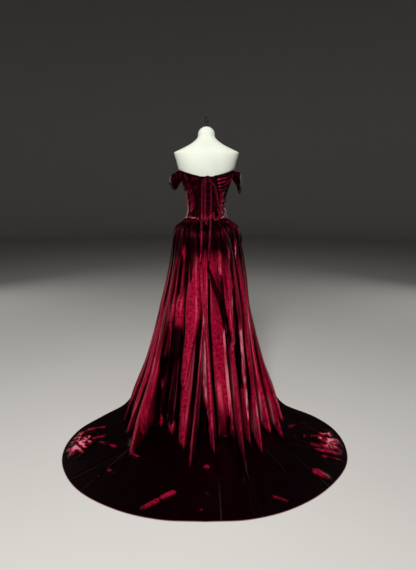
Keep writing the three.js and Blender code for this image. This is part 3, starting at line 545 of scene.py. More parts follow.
BODY_GAP = 2.5  # air between the form and the bodice
BODICE_WALL = 2.6
PANEL_WALL = 1.8  # how thick a panel's cloth is
TRIM_WALL = 1.3
MM_A_DEGREE = 2.0  # round the waist

EDGES = table(
    "angle top bottom",
    (0, 1286, 1032), (18, 1288, 1038), (36, 1300, 1046), (60, 1318, 1048), (80, 1326, 1048),
    (105, 1318, 1047), (130, 1312, 1042), (150, 1314, 1034), (168, 1286, 1024), (180, 1274, 1020),
)
SEAMS = table(
    "top waist bottom", (16, 19, 19), (41, 33, 32), (58, 54, 53), (86, 88, 88), (142, 150, 152)
)
PANELS = {"back": 0.88, "side_back": 0.6, "side": 0.74, "side_front": 0.74}  # how much painted shade each panel takes


def edge(column, angle):
    return read(EDGES, "angle", column, np.abs(turn(angle)))


def bodice_point(angle, z, out):
    """The torso's oval pushed out by the air gap, the cloth and a small flare at the lower edge."""
    flare = 2.4 * bell(z - edge("bottom", angle), 26)
    return torso_point(angle, z, BODY_GAP + flare + out)


def seam_angle(k, share):
    """A seam's angle: eased from its place at the lower edge to the waist, and on to the top."""
    low = np.where(share < 0.5, SEAMS["bottom"][k], SEAMS["waist"][k])
    high = np.where(share < 0.5, SEAMS["waist"][k], SEAMS["top"][k])
    t = np.where(share < 0.5, share * 2, share * 2 - 1)
    return lerp(low, high, ease(t, 0, 1))


def bodice_panel(name, from_seam, to_seam, dark, materials, node):
    """A panel between two seam lines: out = wall - dip + pucker + drag + bone + hem. Its skin dips
    into each seam, puckers beside the stitching, is dragged into slanting creases, rises over a bone
    down its middle and is turned in along both edges. Its painted shade follows the same creases."""
    rows = 110
    share = 1 - np.arange(rows + 1) / rows
    low, high = from_seam(share), to_seam(share)
    width = np.abs(high - low)[None] * MM_A_DEGREE
    columns = max(16, int(np.ceil(np.max(np.abs(high - low)) * 1.1)))
    t = np.linspace(0, 1, columns + 1)[:, None]
    trim = 0.08
    angle = lerp(low[None] + trim, high[None] - trim, t)
    z = lerp(edge("bottom", angle), edge("top", angle), share[None])
    beside = np.minimum(t, 1 - t) * width  # mm from the nearer seam
    above, below = z - edge("bottom", angle), edge("top", angle) - z
    dip = 1.5 * bell(beside, 2.2)
    pucker = 0.55 * bell(beside - 6, 6) * uneven(angle, z, 9, 7, 31)
    slant = z + 1.6 * np.abs(turn(angle))
    drag = 1.3 * uneven(angle, slant, 17, 12, 32) + 0.8 * uneven(angle, slant, 8, 7, 33)
    drag *= (1 - bell(beside, 4)) * (0.35 + 0.65 * bell(above - 30, 60))
    bone = 0.5 * bell((t - 0.5) * width, 4)
    hem = 0.9 * bell(above - 3, 4) + 0.7 * bell(below - 3, 4)
    out = BODICE_WALL - dip + pucker + drag * 0.8 + bone + hem - 0.3
    grid = bodice_point(angle, z, out)
    shade = dark + 0.4 * bell(beside, 5) - 0.35 * drag - 0.25 * uneven(angle, z, 11, 40, 34)
    # Painted highlights: short pale flecks at both sides and along the lower edge.
    painted_flecks = np.maximum(
        bell(np.abs(turn(angle)) - 77, 9) * ease(uneven(angle, z, 3, 9, 35), -0.1, 0.5),
        bell(above - 4, 5) * ease(uneven(angle, z, 3, 6, 36), 0, 0.5),
    )
    panel = shell(name, grid, PANEL_WALL, shade=np.clip(shade, 0.1, 1) - 1.3 * painted_flecks)
    finish_piece(panel, materials["velvet"], [node])


def make_bodice(materials):
    for side, sign in (("left", 1), ("right", -1)):
        for k, (name, dark) in enumerate(PANELS.items()):
            near = lambda share, k=k: sign * seam_angle(k, share)
            far = lambda share, k=k: sign * seam_angle(k + 1, share)
            ends = (near, far) if sign > 0 else (far, near)
            bodice_panel(f"panel_{name}_{side}", *ends, dark, materials, f"bodice_{name}_{side}")
    # The centre front panel takes a painted shade of 0.66.
    bodice_panel(
        "panel_centre_front",
        lambda s: seam_angle(4, s),
        lambda s: 360 - seam_angle(4, s),
        0.66,
        materials,
        "bodice_centre_front",
    )


# ---------- the back opening ----------

LACE_EYES = 7
LACE_WIDTH = 9
BINDING_WIDTH = 6
TAPE_WIDTH = 5
LOOP = {"reach": 4.4, "half_tall": 5, "radius": 1.0, "turn": 1.45}


def lace_height(k):
    return lerp(1270, 1056, k / (LACE_EYES - 1))


def opening_half(z):
    share = (z - edge("bottom", 18)) / (edge("top", 18) - edge("bottom", 18))
    return seam_angle(0, np.asarray(share, float))


def on_body(angle, z, out):
    """A point over the bodice and the outward direction there."""
    at = bodice_point(angle, z, out)
    return at, unit(bodice_point(angle, z, out + 8) - at)


def make_opening(materials):
    rows, columns = 90, 28
    share = (1 - np.arange(rows + 1) / rows)[None]
    half = seam_angle(0, share) + 0.7
    across = np.linspace(-1, 1, columns + 1)[:, None]
    angle = across * half
    z = lerp(edge("bottom", angle) + 2, edge("top", angle) - 3, share)
    out = TRIM_WALL + 0.5 * uneven(angle, z, 7, 9, 41) - 2.6 * ease(np.abs(across), 0.86, 0.97)
    # The lining is painted almost wholly in shade, 0.93.
    panel = shell("lining_panel", bodice_point(angle, z, out), 1.0, shade=0.93)
    finish_piece(panel, materials["velvet"], ["modesty_panel"])

    # A binding folded over the top edge on the left.
    angle = np.linspace(18, 59, 40)
    at, face = on_body(angle, edge("top", angle) - 4, BODICE_WALL + 1.4)
    side = unit(np.cross(unit(np.gradient(at, axis=0)), face))
    band = shell("top_binding", strip(at, side, face, BINDING_WIDTH, 1.1, 0.3)[::-1], 1.0)
    finish_piece(band, materials["binding"], ["binding_back_left"])

    # Rouleau loops: a tube from the tape out over the edge and back, one for each row.
    for side_name, sign in (("left", 1), ("right", -1)):
        z = np.linspace(1280, 1046, 60)
        at, face = on_body(sign * (opening_half(z) + 2.4), z, BODICE_WALL + SEAM_GAP + 0.3)
        side = unit(stack(face[:, 1], -face[:, 0], 0))
        tape = shell(f"eyelet_tape_{side_name}", strip(at, side, face, TAPE_WIDTH, 0.9, 0.2), 0.8)
        finish_piece(tape, materials["lacing"], [f"lacing_loops_{side_name}"])
        rings = []
        for k in range(LACE_EYES):
            z0, root = lace_height(k), opening_half(lace_height(k)) + 2.2
            a = np.linspace(-LOOP["turn"], LOOP["turn"], 22)
            angle, z = sign * (root - LOOP["reach"] * np.cos(a)), z0 + LOOP["half_tall"] * np.sin(a)
            rings.append(tube_points(bodice_point(angle, z, BODICE_WALL + 1.9), LOOP["radius"], 10))
        loops = joined_tubes(f"rouleau_loops_{side_name}", rings)
        finish_piece(loops, materials["lacing"])

    # The ribbon crosses between one pair of loops and the next.
    parts = []
    for k in range(LACE_EYES - 1):
        for sign, lift in ((1, 0.0), (-1, 0.7)):
            t = np.linspace(0, 1, 26)
            z = lerp(lace_height(k) - 5, lace_height(k + 1) + 5, t)
            reach = opening_half(z) - 2.6
            angle = sign * lerp(-reach, reach, t)
            at, face = on_body(angle, z, TRIM_WALL + 1.8 + lift + 0.5 * np.sin(np.pi * t))
            side = unit(np.cross(unit(np.gradient(at, axis=0)), face))
            # It is pinched to 62 percent of its width where it goes through a loop.
            pinch = 0.62 + 0.38 * np.sin(np.pi * t) ** 0.6
            grid = strip(at, side * pinch[:, None], face, LACE_WIDTH, 0.5, 0.4)
            parts.append(grid if np.dot(grid_normals(grid)[4, 12], face[12]) > 0 else grid[::-1])
    lacing = joined_shells("corset_lacing", parts, 0.6)
    finish_piece(
        lacing, materials["lacing"], [f"lacing_cross_{k + 1}" for k in range(LACE_EYES - 1)]
    )


def joined(name, pieces):
    """One object from several, the first one's name kept."""
    bpy.ops.object.select_all(action="DESELECT")
    for piece in pieces:
        piece.select_set(True)
    bpy.context.view_layer.objects.active = pieces[0]
    bpy.ops.object.join()
    pieces[0].name = name
    return pieces[0]


def joined_shells(name, grids, wall):
    return joined(name, [shell(f"{name}_{k}", grid, wall) for k, grid in enumerate(grids)])


def joined_tubes(name, tubes):
    return joined(name, [tube_mesh(f"{name}_{k}", rings) for k, rings in enumerate(tubes)])


def tube_mesh(name, rings):
    """A closed tube from rings[along, round], with its own uv map in metres."""
    made = body_of_rings(name, rings)
    long = np.concatenate([[0], np.cumsum(np.linalg.norm(np.diff(rings.mean(axis=1), axis=0), axis=1))])
    u, v = np.meshgrid(np.linspace(0, 0.008, rings.shape[1]), long / 1000)
    uv = np.concatenate([np.stack([u, v], axis=-1).reshape(-1, 2), [[0, 0], [0, long[-1] / 1000]]])
    corners = np.empty(len(made.data.loops), int)
    made.data.loops.foreach_get("vertex_index", corners)
    made.data.uv_layers.new(name="cloth").data.foreach_set("uv", uv[corners].ravel())
    return made


# ---------- the draped bands ----------

BACK_BAND = table(
    "along angle_top angle_low top low",
    (0, -21, -33, 1289, 1196), (0.35, -38, -46, 1301, 1202), (0.7, -58, -62, 1318, 1234),
    (0.9, -70, -71, 1323, 1272), (1, -75, -75, 1323, 1286),
)
FRONT_BAND = table(
    "along angle_top angle_low top low",
    (0, 106, 106, 1316, 1262), (0.15, 117, 118, 1313, 1236), (0.32, 135, 136, 1309, 1212),
    (0.5, 180, 180, 1271, 1206), (0.68, 225, 224, 1309, 1212), (0.85, 243, 242, 1313, 1236),
    (1, 254, 254, 1316, 1262),
)
LEFT_BAND = table(
    "along angle_top angle_low top low",
    (0, 60, 62, 1319, 1292), (0.5, 67, 68, 1323, 1276), (1, 75, 75, 1323, 1274),
)
BAND_LIFT = BODICE_WALL + SEAM_GAP
BANDS = (
    # name, stations, steps along, pleats, their height, lift in the middle, seed, node, flat size, bed
    ("wrap_back_right", BACK_BAND, 60, 5, 9.5, 0.4, 51, "drape_back_right", (0.13, 0.11), "back_right"),
    ("wrap_front", FRONT_BAND, 150, 5, 7.2, 2.7, 61, "drape_front", (0.13, 0.33), "centre_front"),
    ("wrap_end_left", LEFT_BAND, 30, 3, 5.2, 0.4, 71, "drape_end_left", (0.05, 0.036), "side_left"),
)


def pleated_band(stations, steps, pleats, height, rise, seed):
    """The grid and painted shade of a band. Pleats run along it, each a round nose that falls over the
    next: a skewed half wave of its share across, with edges that wander and gather towards the band's
    ends. Shade is painted between the noses and along its top edge, and a pale highlight is painted on
    the noses."""
    along = np.linspace(0, 1, steps + 1)[:, None]
    down = np.linspace(0, 1, pleats * 14 + 1)[None]
    station = lambda key: read(stations, "along", key, along)
    wander = 0.035 * uneven(along, down, 0.22, 0.3, seed) * np.sin(np.pi * down)
    at = np.clip(down + wander, 0, 1) * pleats
    nose = np.sin(np.pi * np.clip(at % 1, 0, 1) ** 0.62) ** 1.3
    nose *= 0.8 + 0.2 * uneven(np.floor(at), along, 1, 0.3, seed + 1)
    fine = 0.05 * np.sin(2 * np.pi * (at * 3 + 0.6 * uneven(along, down, 0.3, 0.2, seed + 2)))
    ends = ease(np.minimum(along, 1 - along), -0.25, 0.25)
    angle = lerp(station("angle_top"), station("angle_low"), down)
    z = lerp(station("top"), station("low"), down)
    lift = BAND_LIFT + rise * np.sin(np.pi * along) ** 0.5 + 0.9
    grid = bodice_point(angle, z, lift + height * (nose + fine) * ends)
    mottle = 0.75 + 0.25 * uneven(along, down, 0.12, 0.06, seed + 3)
    # Painted shade between the noses and along the top edge; painted pale highlight on the noses.
    shade = np.maximum(1 - 1.3 * ease(nose, 0.35, 0.95) * mottle, ease(0.12 - down, 0, 0.04))
    if stations["angle_top"][0] > stations["angle_top"][-1]:
        grid, shade = grid[::-1], shade[::-1]
    return grid, shade


def make_drapes(materials):
    for name, *shape, node, flat, bed in BANDS:
        grid, shade = pleated_band(*shape)
        wrap = shell(name, grid, 0.8, shade=shade)
        finish_piece(wrap, materials["velvet"], [node])


# ---------- the sleeves ----------

SLEEVE_COLUMNS = "along top_x top_y top_z low_x low_y low_z"
SLEEVES = {
    "left": table(
        SLEEVE_COLUMNS,
        (0, 162, 46, 1318, 156, 56, 1264), (0.25, 202, 38, 1296, 184, 48, 1218),
        (0.5, 225, -8, 1264, 196, -6, 1212), (0.75, 200, -52, 1292, 182, -58, 1216),
        (1, 163, -66, 1314, 154, -78, 1262),
    ),
    "right": table(
        SLEEVE_COLUMNS,
        (0, 167, 45, 1315, 163, 53, 1288), (0.25, 192, 38, 1308, 186, 44, 1242),
        (0.5, 208, -6, 1284, 194, -4, 1188), (0.75, 196, -52, 1298, 184, -56, 1226),
        (1, 163, -68, 1312, 156, -78, 1276),
    ),
}
SLEEVE_ROOTS = {"back": 77.4, "front": 103}
SLEEVE_SEAT = BODICE_WALL + 0.9


def sleeve_grid(side):
    """The grid and painted shade of a limp band: the straight line between its upper and lower edges,
    bellied out by 7 mm and folded by uneven waves that run down it and die at the upper edge. Shade
    is painted over it, darker where a fold sinks in."""
    rows = SLEEVES[side]
    along = np.linspace(0, 1, 109)[:, None]
    down = np.linspace(0, 1, 45)[None]
    at = lambda key: read(rows, "along", key, along)
    top = stack(at("top_x"), at("top_y"), at("top_z"))
    low = stack(at("low_x"), at("low_y"), at("low_z"))
    p = lerp(top, low, down[..., None])
    root = {}
    for key, column in (("back", 0), ("front", -1)):
        root[key] = bodice_point(SLEEVE_ROOTS[key], p[column, :, 2], SLEEVE_SEAT)
    near = ease(along, 0, 1 / 12)[..., None]
    p = lerp(root["back"][None], p, near)
    near = ease(1 - along, 0, 1 / 12)[..., None]
    p = lerp(root["front"][None], p, near)
    outward = unit(stack(p[..., 0] - 150, p[..., 1], 0 * p[..., 0]))
    middle = np.sin(np.pi * along)
    belly = 7 * np.sin(np.pi * down) * middle
    seed = 81 if side == "left" else 86
    wave = np.cos(2 * np.pi * 3.5 * along + 0.5 * uneven(along, down, 0.3, 0.5, seed))
    fine = 3.2 * uneven(along, down, 0.06, 0.45, seed + 1)
    fine = fine + 1.6 * uneven(along, down, 0.025, 0.3, seed + 2)
    fold = 4 * wave * ease(down, 0, 0.6) + fine * (0.5 + 0.5 * down)
    # Painted shade, darker where a fold sinks in.
    shade = np.clip(0.95 - 0.06 * fold, 0.4, 1)
    return p + outward * (belly + fold * middle)[..., None], shade


def make_sleeves(materials):
    for side in ("left", "right"):
        grid, shade = sleeve_grid(side)
        if side == "right":
            grid, shade = (grid * np.array([-1, 1, 1]))[::-1], shade[::-1]
        band = shell(f"shoulder_band_{side}", grid, 1.6, shade=shade)
        finish_piece(band, materials["velvet"], [f"sleeve_{side}"])


# ---------- the skirt ----------

# Level rings of the skirt: its reach each way, how much the folds' hip and knee columns count there,
# the share of the way from a fold's waist angle to its knee angle, and the deepest its creases go.
RINGS = table(
    "z left right front back hip mid drift hollow",
    (1024, 143, 146, 112, 116, 0.5, 0, 0.02, 4),
    (1000, 170, 178, 132, 150, 0.85, 0, 0.08, 13),
    (960, 187, 192, 148, 172, 1, 0, 0.2, 24),
    (860, 198, 207, 166, 192, 0.75, 0.3, 0.5, 34),
    (700, 224, 228, 190, 244, 0.2, 0.8, 0.8, 46),
    (540, 262, 243, 212, 326, 0, 1, 1, 52),
)
# Below the knee each thread flares: the share of its way out to where it meets the floor, and how
# much of a tip's rounding has come in.
FALL = table("z share round", (380, 0.22, 0), (230, 0.48, 0.12), (100, 0.79, 0.45), (24, 0.94, 0.85))
EDGE_LINE = table(
    "angle x y right",
    (0, 0, 1196, 0.94), (12, 172, 1186, 0.94), (25, 346, 1134, 0.94), (40, 520, 1026, 0.94),
    (52, 630, 880, 0.975), (62, 670, 727, 0.99), (70, 646, 574, 1.01), (78, 562, 440, 1.03),
    (88, 472, 310, 0.95), (105, 432, 104, 0.93), (130, 352, -122, 0.96), (155, 196, -251, 1),
    (180, 0, -290, 1),
)
# The folds from the wearer's left side round the back: angles, how far each stands out and half
# its width at hip and knee, the tip where it meets the floor, half its width there and how far its
# sides draw back from it, how far the crease beside it draws in, how high it lies on the train, and
# how many degrees it leans over.
FOLDS = table(
    "waist knee edge hip mid hip_wide knee_wide tip_x tip_y tip_wide round notch train lean",
    (98, 100, 97, 9, 16, 8, 16, 432, 190, 28, 20, 24, 4, 1.0),
    (88, 92, 78, 10, 18, 6, 12, 452, 335, 26, 30, 44, 9, -1.5),
    (78, 83, 65, 8, 15, 9, 17, 442, 505, 34, 60, 120, 6, 1.0),
    (68, 70, 53, 11, 20, 6, 15, 404, 625, 36, 70, 120, 8, -2.0),
    (57, 56, 43, 9, 17, 7, 18, 354, 815, 36, 150, 278, 5, 1.6),
    (47, 45, 34, 12, 20, 5, 7, 236, 570, 10, 10, 20, 7, -2.4),
    (37, 33, 25, 8, 14, 9, 13, 176, 640, 24, 20, 50, 4, 1.2),
    (24, 16, 14, 9, 24, 14, 42, 108, 762, 44, 80, 163, 5, -1.2),
    (12, 3, 6, 8, 12, 5, 6, 70, 912, 20, 170, 309, 5, 1.2),
    (3, 0, -2, 9, 14, 8, 14, -40, 806, 18, 60, 200, 5, -0.5),
    (-8, -13, -11, 10, 20, 8, 46, -104, 655, 56, 30, 52, 5, 1.4),
    (-20, -28, -17, 9, 16, 26, 18, -174, 945, 18, 200, 360, 5, -1.2),
    (-34, -45, -26, 13, 26, 7, 18, -214, 730, 20, 90, 166, 4, 2.0),
    (-48, -60, -36, 9, 16, 8, 14, -262, 812, 18, 150, 280, 5, -1.6),
    (-61, -72, -46, 11, 18, 6, 12, -326, 640, 26, 80, 152, 5, 1.4),
    (-73, -83, -57, 9, 15, 8, 13, -384, 690, 22, 110, 190, 5, -1.0),
    (-85, -92, -69, 10, 18, 6, 14, -412, 520, 34, 60, 150, 5, 1.0),
    (-96, -99, -82, 9, 17, 8, 15, -420, 340, 28, 30, 34, 2, -1.4),
    (-107, -108, -97, 8, 15, 6, 13, -390, 150, 24, 20, 24, 2, 1.0),
    (-117, -117, -114, 10, 20, 8, 17, -368, 2, 28, 10, 18, 1, 1.2),
    (-130, -129, -130, 8, 16, 6, 12, -334, -116, 20, 10, 18, 1, -1.0),
    (-143, -142, -144, 9, 21, 9, 18, -265, -206, 26, 10, 16, 1, 1.8),
    (-156, -156, -157, 10, 17, 6, 13, -184, -257, 20, 10, 16, 1, -1.2),
    (-168, -169, -170, 8, 15, 8, 16, -84, -285, 24, 10, 16, 1, 1.0),
    (-181, -182, -183, 9, 18, 6, 12, 24, -290, 18, 10, 16, 1, -1.8),
    (-194, -195, -196, 10, 16, 9, 17, 124, -276, 26, 10, 16, 1, 1.2),
    (-207, -209, -210, 9, 20, 7, 14, 228, -236, 20, 10, 16, 1, -1.6),
    (-221, -223, -224, 8, 17, 8, 16, 314, -168, 25, 10, 16, 1, 1.0),
    (-235, -236, -239, 10, 19, 6, 12, 382, -62, 20, 10, 16, 1, -1.2),
    (-249, -248, -253, 9, 16, 8, 15, 424, 62, 24, 10, 16, 2, 1.4),
)
FOLD_COUNT = len(FOLDS["waist"])
SKIRT_WALL = 2.0
HEM_RADIUS = 1.1
HEM_SIDES = 8


def ring_point(ring, angle, out):
    """A level oval with its own reach to left, right, front and back, out along its normal."""

    def oval(a):
        s, c = np.sin(np.radians(a)), np.cos(np.radians(a))
        centre = (ring["back"] - ring["front"]) / 2
        half = lerp(ring["right"], ring["left"], (1 + s) / 2)
        return half * s, centre + (ring["back"] + ring["front"]) / 2 * c

    return plan_offset(oval, angle, out)


def edge_point(angle):
    """A point of the cut edge on the floor."""
    a = turn(angle)
    column = lambda key: read(EDGE_LINE, "angle", key, np.abs(a))
    return np.where(a < 0, -column("x") * column("right"), column("x")), column("y")


def crest_at(u, gap, left, right):
    """Between two ridges gap mm apart, with crowns left and right mm wide at each side: 1 on a
    crown, 0 at the foot of its flank and -1 in the crease half way, and how wide the crease is."""
    fit = np.minimum(1, 0.66 * gap / (left + right))
    left, right = left * fit / gap, right * fit / gap
    crown = ease(1.35 - np.minimum(u / left, (1 - u) / right), 0, 0.55)
    bare = 1 - 1.35 * (left + right)
    depth = np.minimum(u - 1.35 * left, 1 - 1.35 * right - u) / (bare / 2)
    return crown - np.clip(depth, 0, 1), bare * gap


def skirt_lines(q):
    """The threads of the skirt from waist to cut edge, at places q counted in folds. Each passes
    through a point under the bodice, one on every ring, four on its fall, its landing on the
    floor and three on the train. The fourth column is the crest, from 1 to -1."""
    k = np.floor(q).astype(int) % FOLD_COUNT
    u = q - np.floor(q)
    after = (k + 1) % FOLD_COUNT
    lap = np.where(k + 1 == FOLD_COUNT, -360.0, 0.0)
    here = lambda key: FOLDS[key][k]
    then = lambda key: FOLDS[key][after] + (lap if key in ("waist", "knee", "edge") else 0)
    near = np.where(u < 0.5, k, after)

    def angle(drift):
        a = lerp(here("waist"), here("knee"), drift)
        b = lerp(then("waist"), then("knee"), drift)
        return a, b, lerp(a, b, u)

    top_angle = angle(0)[2]
    top = edge("bottom", top_angle) - SEAM_GAP
    knots = [stack(*bodice_point(top_angle, top, BODICE_WALL - 0.2).T, 0.3)]
    for n in range(len(RINGS["z"])):
        ring = {key: RINGS[key][n] for key in RINGS}
        a, b, between = angle(ring["drift"])
        gap = np.radians(a - b) * (ring["left"] + ring["back"]) / 2
        low = ring["drift"]
        crest, bare = crest_at(
            u,
            gap,
            lerp(here("hip_wide"), here("knee_wide"), low),
            lerp(then("hip_wide"), then("knee_wide"), low),
        )
        crown = np.maximum(crest, 0)
        wander = 0.8 * low * uneven(q, ring["z"], 1.0, 160, 11)
        lean = FOLDS["lean"][near] * crown * low
        out = crown * (ring["hip"] * FOLDS["hip"][near] + ring["mid"] * FOLDS["mid"][near])
        out += np.minimum(crest, 0) * np.minimum(0.8 * bare, ring["hollow"])
        x, y = ring_point(ring, between + lean + wander, out)
        drop = (edge("bottom", top_angle) - 1048) * bell(ring["z"] - 1024, 60)
        knots.append(stack(x, y, ring["z"] + drop, crest))
    knee = knots[-1]
    # A tip reaches out from the line on which the creases land. It points straight back on the train
    # and away from the stand in front.
    tips = np.stack([FOLDS["tip_x"], FOLDS["tip_y"]], axis=-1)
    centre = stack(0, 150 - 1650 * ease(FOLDS["tip_y"], 200, 600))
    inward = unit(centre - tips)
    roots = tips + inward * FOLDS["notch"][:, None]
    span = np.linalg.norm(roots[k] - roots[after], axis=1)
    crest, _ = crest_at(u, span, here("tip_wide"), then("tip_wide"))
    reach = np.minimum(u * span / here("tip_wide"), (1 - u) * span / then("tip_wide"))
    inward = inward[near]
    out = here("notch") * (near == k) + then("notch") * (near == after)
    out = out * np.maximum(crest, 0) + 25 * np.minimum(crest, 0)
    landing = lerp(roots[k], roots[after], u[:, None]) - inward * out[:, None]
    landing = stack(landing[:, 0], landing[:, 1], 0, crest)
    # The sides of a tip draw back by round times reach^1.5 over its half width.
    back = FOLDS["round"][near] * np.clip(reach, 0, 1.3) ** 1.5 * np.maximum(crest, 0)
    drawn = stack(inward[:, 0] * back, inward[:, 1] * back, 0, 0)
    for z, share, part in zip(FALL["z"], FALL["share"], FALL["round"]):
        p = lerp(knee, landing, share) + part * drawn
        p[:, 2] = z
        knots.append(p)
    landing = landing + drawn
    knots.append(landing)
    hem_x, hem_y = edge_point(lerp(here("edge"), then("edge"), u))
    hem = stack(hem_x, hem_y, 0, 0)
    flat = np.clip(np.linalg.norm(hem[:, :3] - landing[:, :3], axis=1) / 250, 0, 1)
    for share in (0.35, 0.7, 1):
        p = lerp(landing, hem, share)
        relief = 0.2 * FOLDS["train"][near] * np.maximum(crest, 0)
        relief *= math.sin(math.pi * lerp(0.1, 1, share))
        p[:, 2] = flat * relief if share < 1 else 0
        knots.append(p)
    return smooth_lines(np.stack(knots, axis=1), 14)


# Single creases laid over the hanging folds: sideways place, height and half width down each one,
# how high it stands, and whether it is at the back (1) or the front (-1).
TONGUES = (
    ("pocket", 1, 13, ((140, 650, 10), (146, 600, 20), (150, 500, 23), (158, 390, 20), (163, 312, 11))),
    ("inner", 1, 12, ((44, 850, 7), (56, 760, 22), (66, 600, 36), (84, 440, 22), (104, 300, 14),
                      (112, 214, 9))),
    ("sliver", 1, 9, ((186, 630, 5), (190, 540, 7), (214, 400, 6), (226, 300, 7), (238, 150, 5))),
    ("seam", 1, 5, ((16, 900, 10), (15, 760, 9), (10, 560, 9), (4, 400, 12), (-4, 230, 19),
                    (-20, 60, 12))),
    ("ridge", 1, 14, ((-100, 960, 7), (-116, 840, 9), (-124, 700, 9), (-132, 520, 7), (-142, 380, 4))),
    ("patch", 1, 9, ((-62, 900, 9), (-74, 820, 15), (-80, 730, 8))),
    ("front", -1, 8, ((40, 880, 8), (52, 700, 16), (66, 520, 20), (80, 330, 12))),
    ("front_low", -1, 7, ((-70, 760, 7), (-84, 560, 15), (-104, 380, 17), (-118, 220, 9))),
    ("front_side", -1, 5, ((-150, 860, 8), (-168, 640, 14), (-196, 420, 17), (-214, 260, 9))),
    ("front_far", -1, 6, ((140, 800, 7), (160, 600, 14), (192, 380, 14), (206, 240, 8))),
)
# Thin creases between them, sunk in and painted dark with painted shade, laid down the same way.
DARTS = (
    ("long", 1, 13, ((-2, 800, 6), (-30, 720, 9), (-74, 615, 10), (-108, 480, 10), (-128, 400, 8))),
    ("side", 1, 18, ((-134, 860, 6), (-146, 700, 9), (-154, 540, 11), (-164, 380, 13), (-186, 200, 15))),
    ("waist", 1, 9, ((76, 960, 6), (86, 840, 9), (84, 700, 6))),
    ("gap", 1, 5, ((150, 520, 18), (160, 400, 28), (172, 300, 38), (184, 180, 44), (196, 40, 50))),
    ("front", -1, 14, ((10, 900, 6), (6, 700, 10), (-16, 480, 13), (-30, 260, 10))),
)


# Painted pale highlights along the hanging folds, laid down the same way.
GLEAMS = (
    ("long", 1, 1, ((-184, 520, 5), (-194, 380, 9), (-204, 220, 9), (-208, 90, 4))),
    ("high", 1, 0.8, ((-124, 920, 4), (-132, 760, 5), (-137, 620, 5), (-138, 500, 3))),
    ("patch", 1, 0.7, ((-68, 900, 5), (-75, 800, 10), (-76, 700, 6))),
    ("hip", 1, 0.8, ((-160, 960, 3), (-167, 890, 4), (-168, 820, 3))),
    ("hip_left", 1, 0.8, ((126, 930, 4), (130, 880, 9), (128, 820, 5))),
    ("side", 1, 0.6, ((238, 590, 4), (262, 420, 5), (290, 215, 5))),
    ("centre", 1, 0.8, ((14, 620, 3), (12, 455, 6), (8, 300, 10), (4, 180, 13), (0, 105, 8))),
    ("low_left", 1, 0.6, ((296, 200, 8), (302, 120, 13), (304, 40, 8))),
    ("low_right", 1, 0.6, ((-248, 230, 5), (-254, 140, 9), (-262, 45, 6))),
    ("front", -1, 0.8, ((30, 900, 4), (38, 700, 6), (48, 480, 8), (52, 360, 4))),
    ("front_left", -1, 0.7, ((150, 860, 4), (176, 600, 7), (196, 380, 6))),
    ("front_right", -1, 0.7, ((-96, 940, 4), (-120, 700, 7), (-150, 430, 7), (-160, 260, 4))),
)


def laid_over(creases, x, y, z):
    """How much of a crease lies at each point, times its height: 1 within its half width, falling
    steeply at its rims, faded in at its upper end and rounded off at its lower one."""
    most = np.zeros_like(x)
    for _, side, height, knots in creases:
        rows = table("x z half", *knots[::-1])
        centre, half = read(rows, "z", "x", z), read(rows, "z", "half", z)
        low, high = rows["z"][0], rows["z"][-1]
        half = half * np.sqrt(np.clip((z - low) / 30, 1e-4, 1))
        across = ease(1.4 - np.abs(x - centre) / half, 0, 0.6)
        along = ease(z, low - 6, low + 6) * (1 - ease(z, high - 90, high))
        most = np.maximum(most, height * across * along * (y * side > 0))
    return most


# Low wrinkles on the train: from a place to a place, height and half width in mm.
WRINKLES = (
    (251, 1140, 180, 1086, 12, 13),
    (176, 1080, 123, 1040, 13, 15),
    (8, 878, -18, 892, 13, 16),
    (24, 1142, 8, 1144, 10, 9),
    (2, 1052, -12, 1058, 9, 9),
    (-262, 1066, -330, 1098, 8, 9),
    (-462, 905, -548, 985, 15, 20),
    (-499, 712, -640, 752, 10, 12),
    (-505, 752, -636, 796, 10, 11),
    (-520, 800, -622, 836, 8, 10),
    (520, 560, 610, 590, 9, 12),
    (498, 640, 560, 668, 9, 10),
    (430, 730, 520, 690, 8, 10),
    (300, 820, 352, 780, 8, 9),
    (-400, 560, -520, 520, 8, 10),
    (-440, 640, -560, 640, 7, 9),
    (380, 930, 430, 900, 7, 8),
)


def ridge_between(x, y, x0, y0, x1, y1, half):
    """A soft ridge along a line on the floor: bell across it, and eased off at both ends."""
    dx, dy = x1 - x0, y1 - y0
    long = math.hypot(dx, dy)
    along = ((x - x0) * dx + (y - y0) * dy) / long
    across = ((x - x0) * dy - (y - y0) * dx) / long
    return bell(across, half) * ease(along, -half, half) * (1 - ease(along, long - half, long + half))


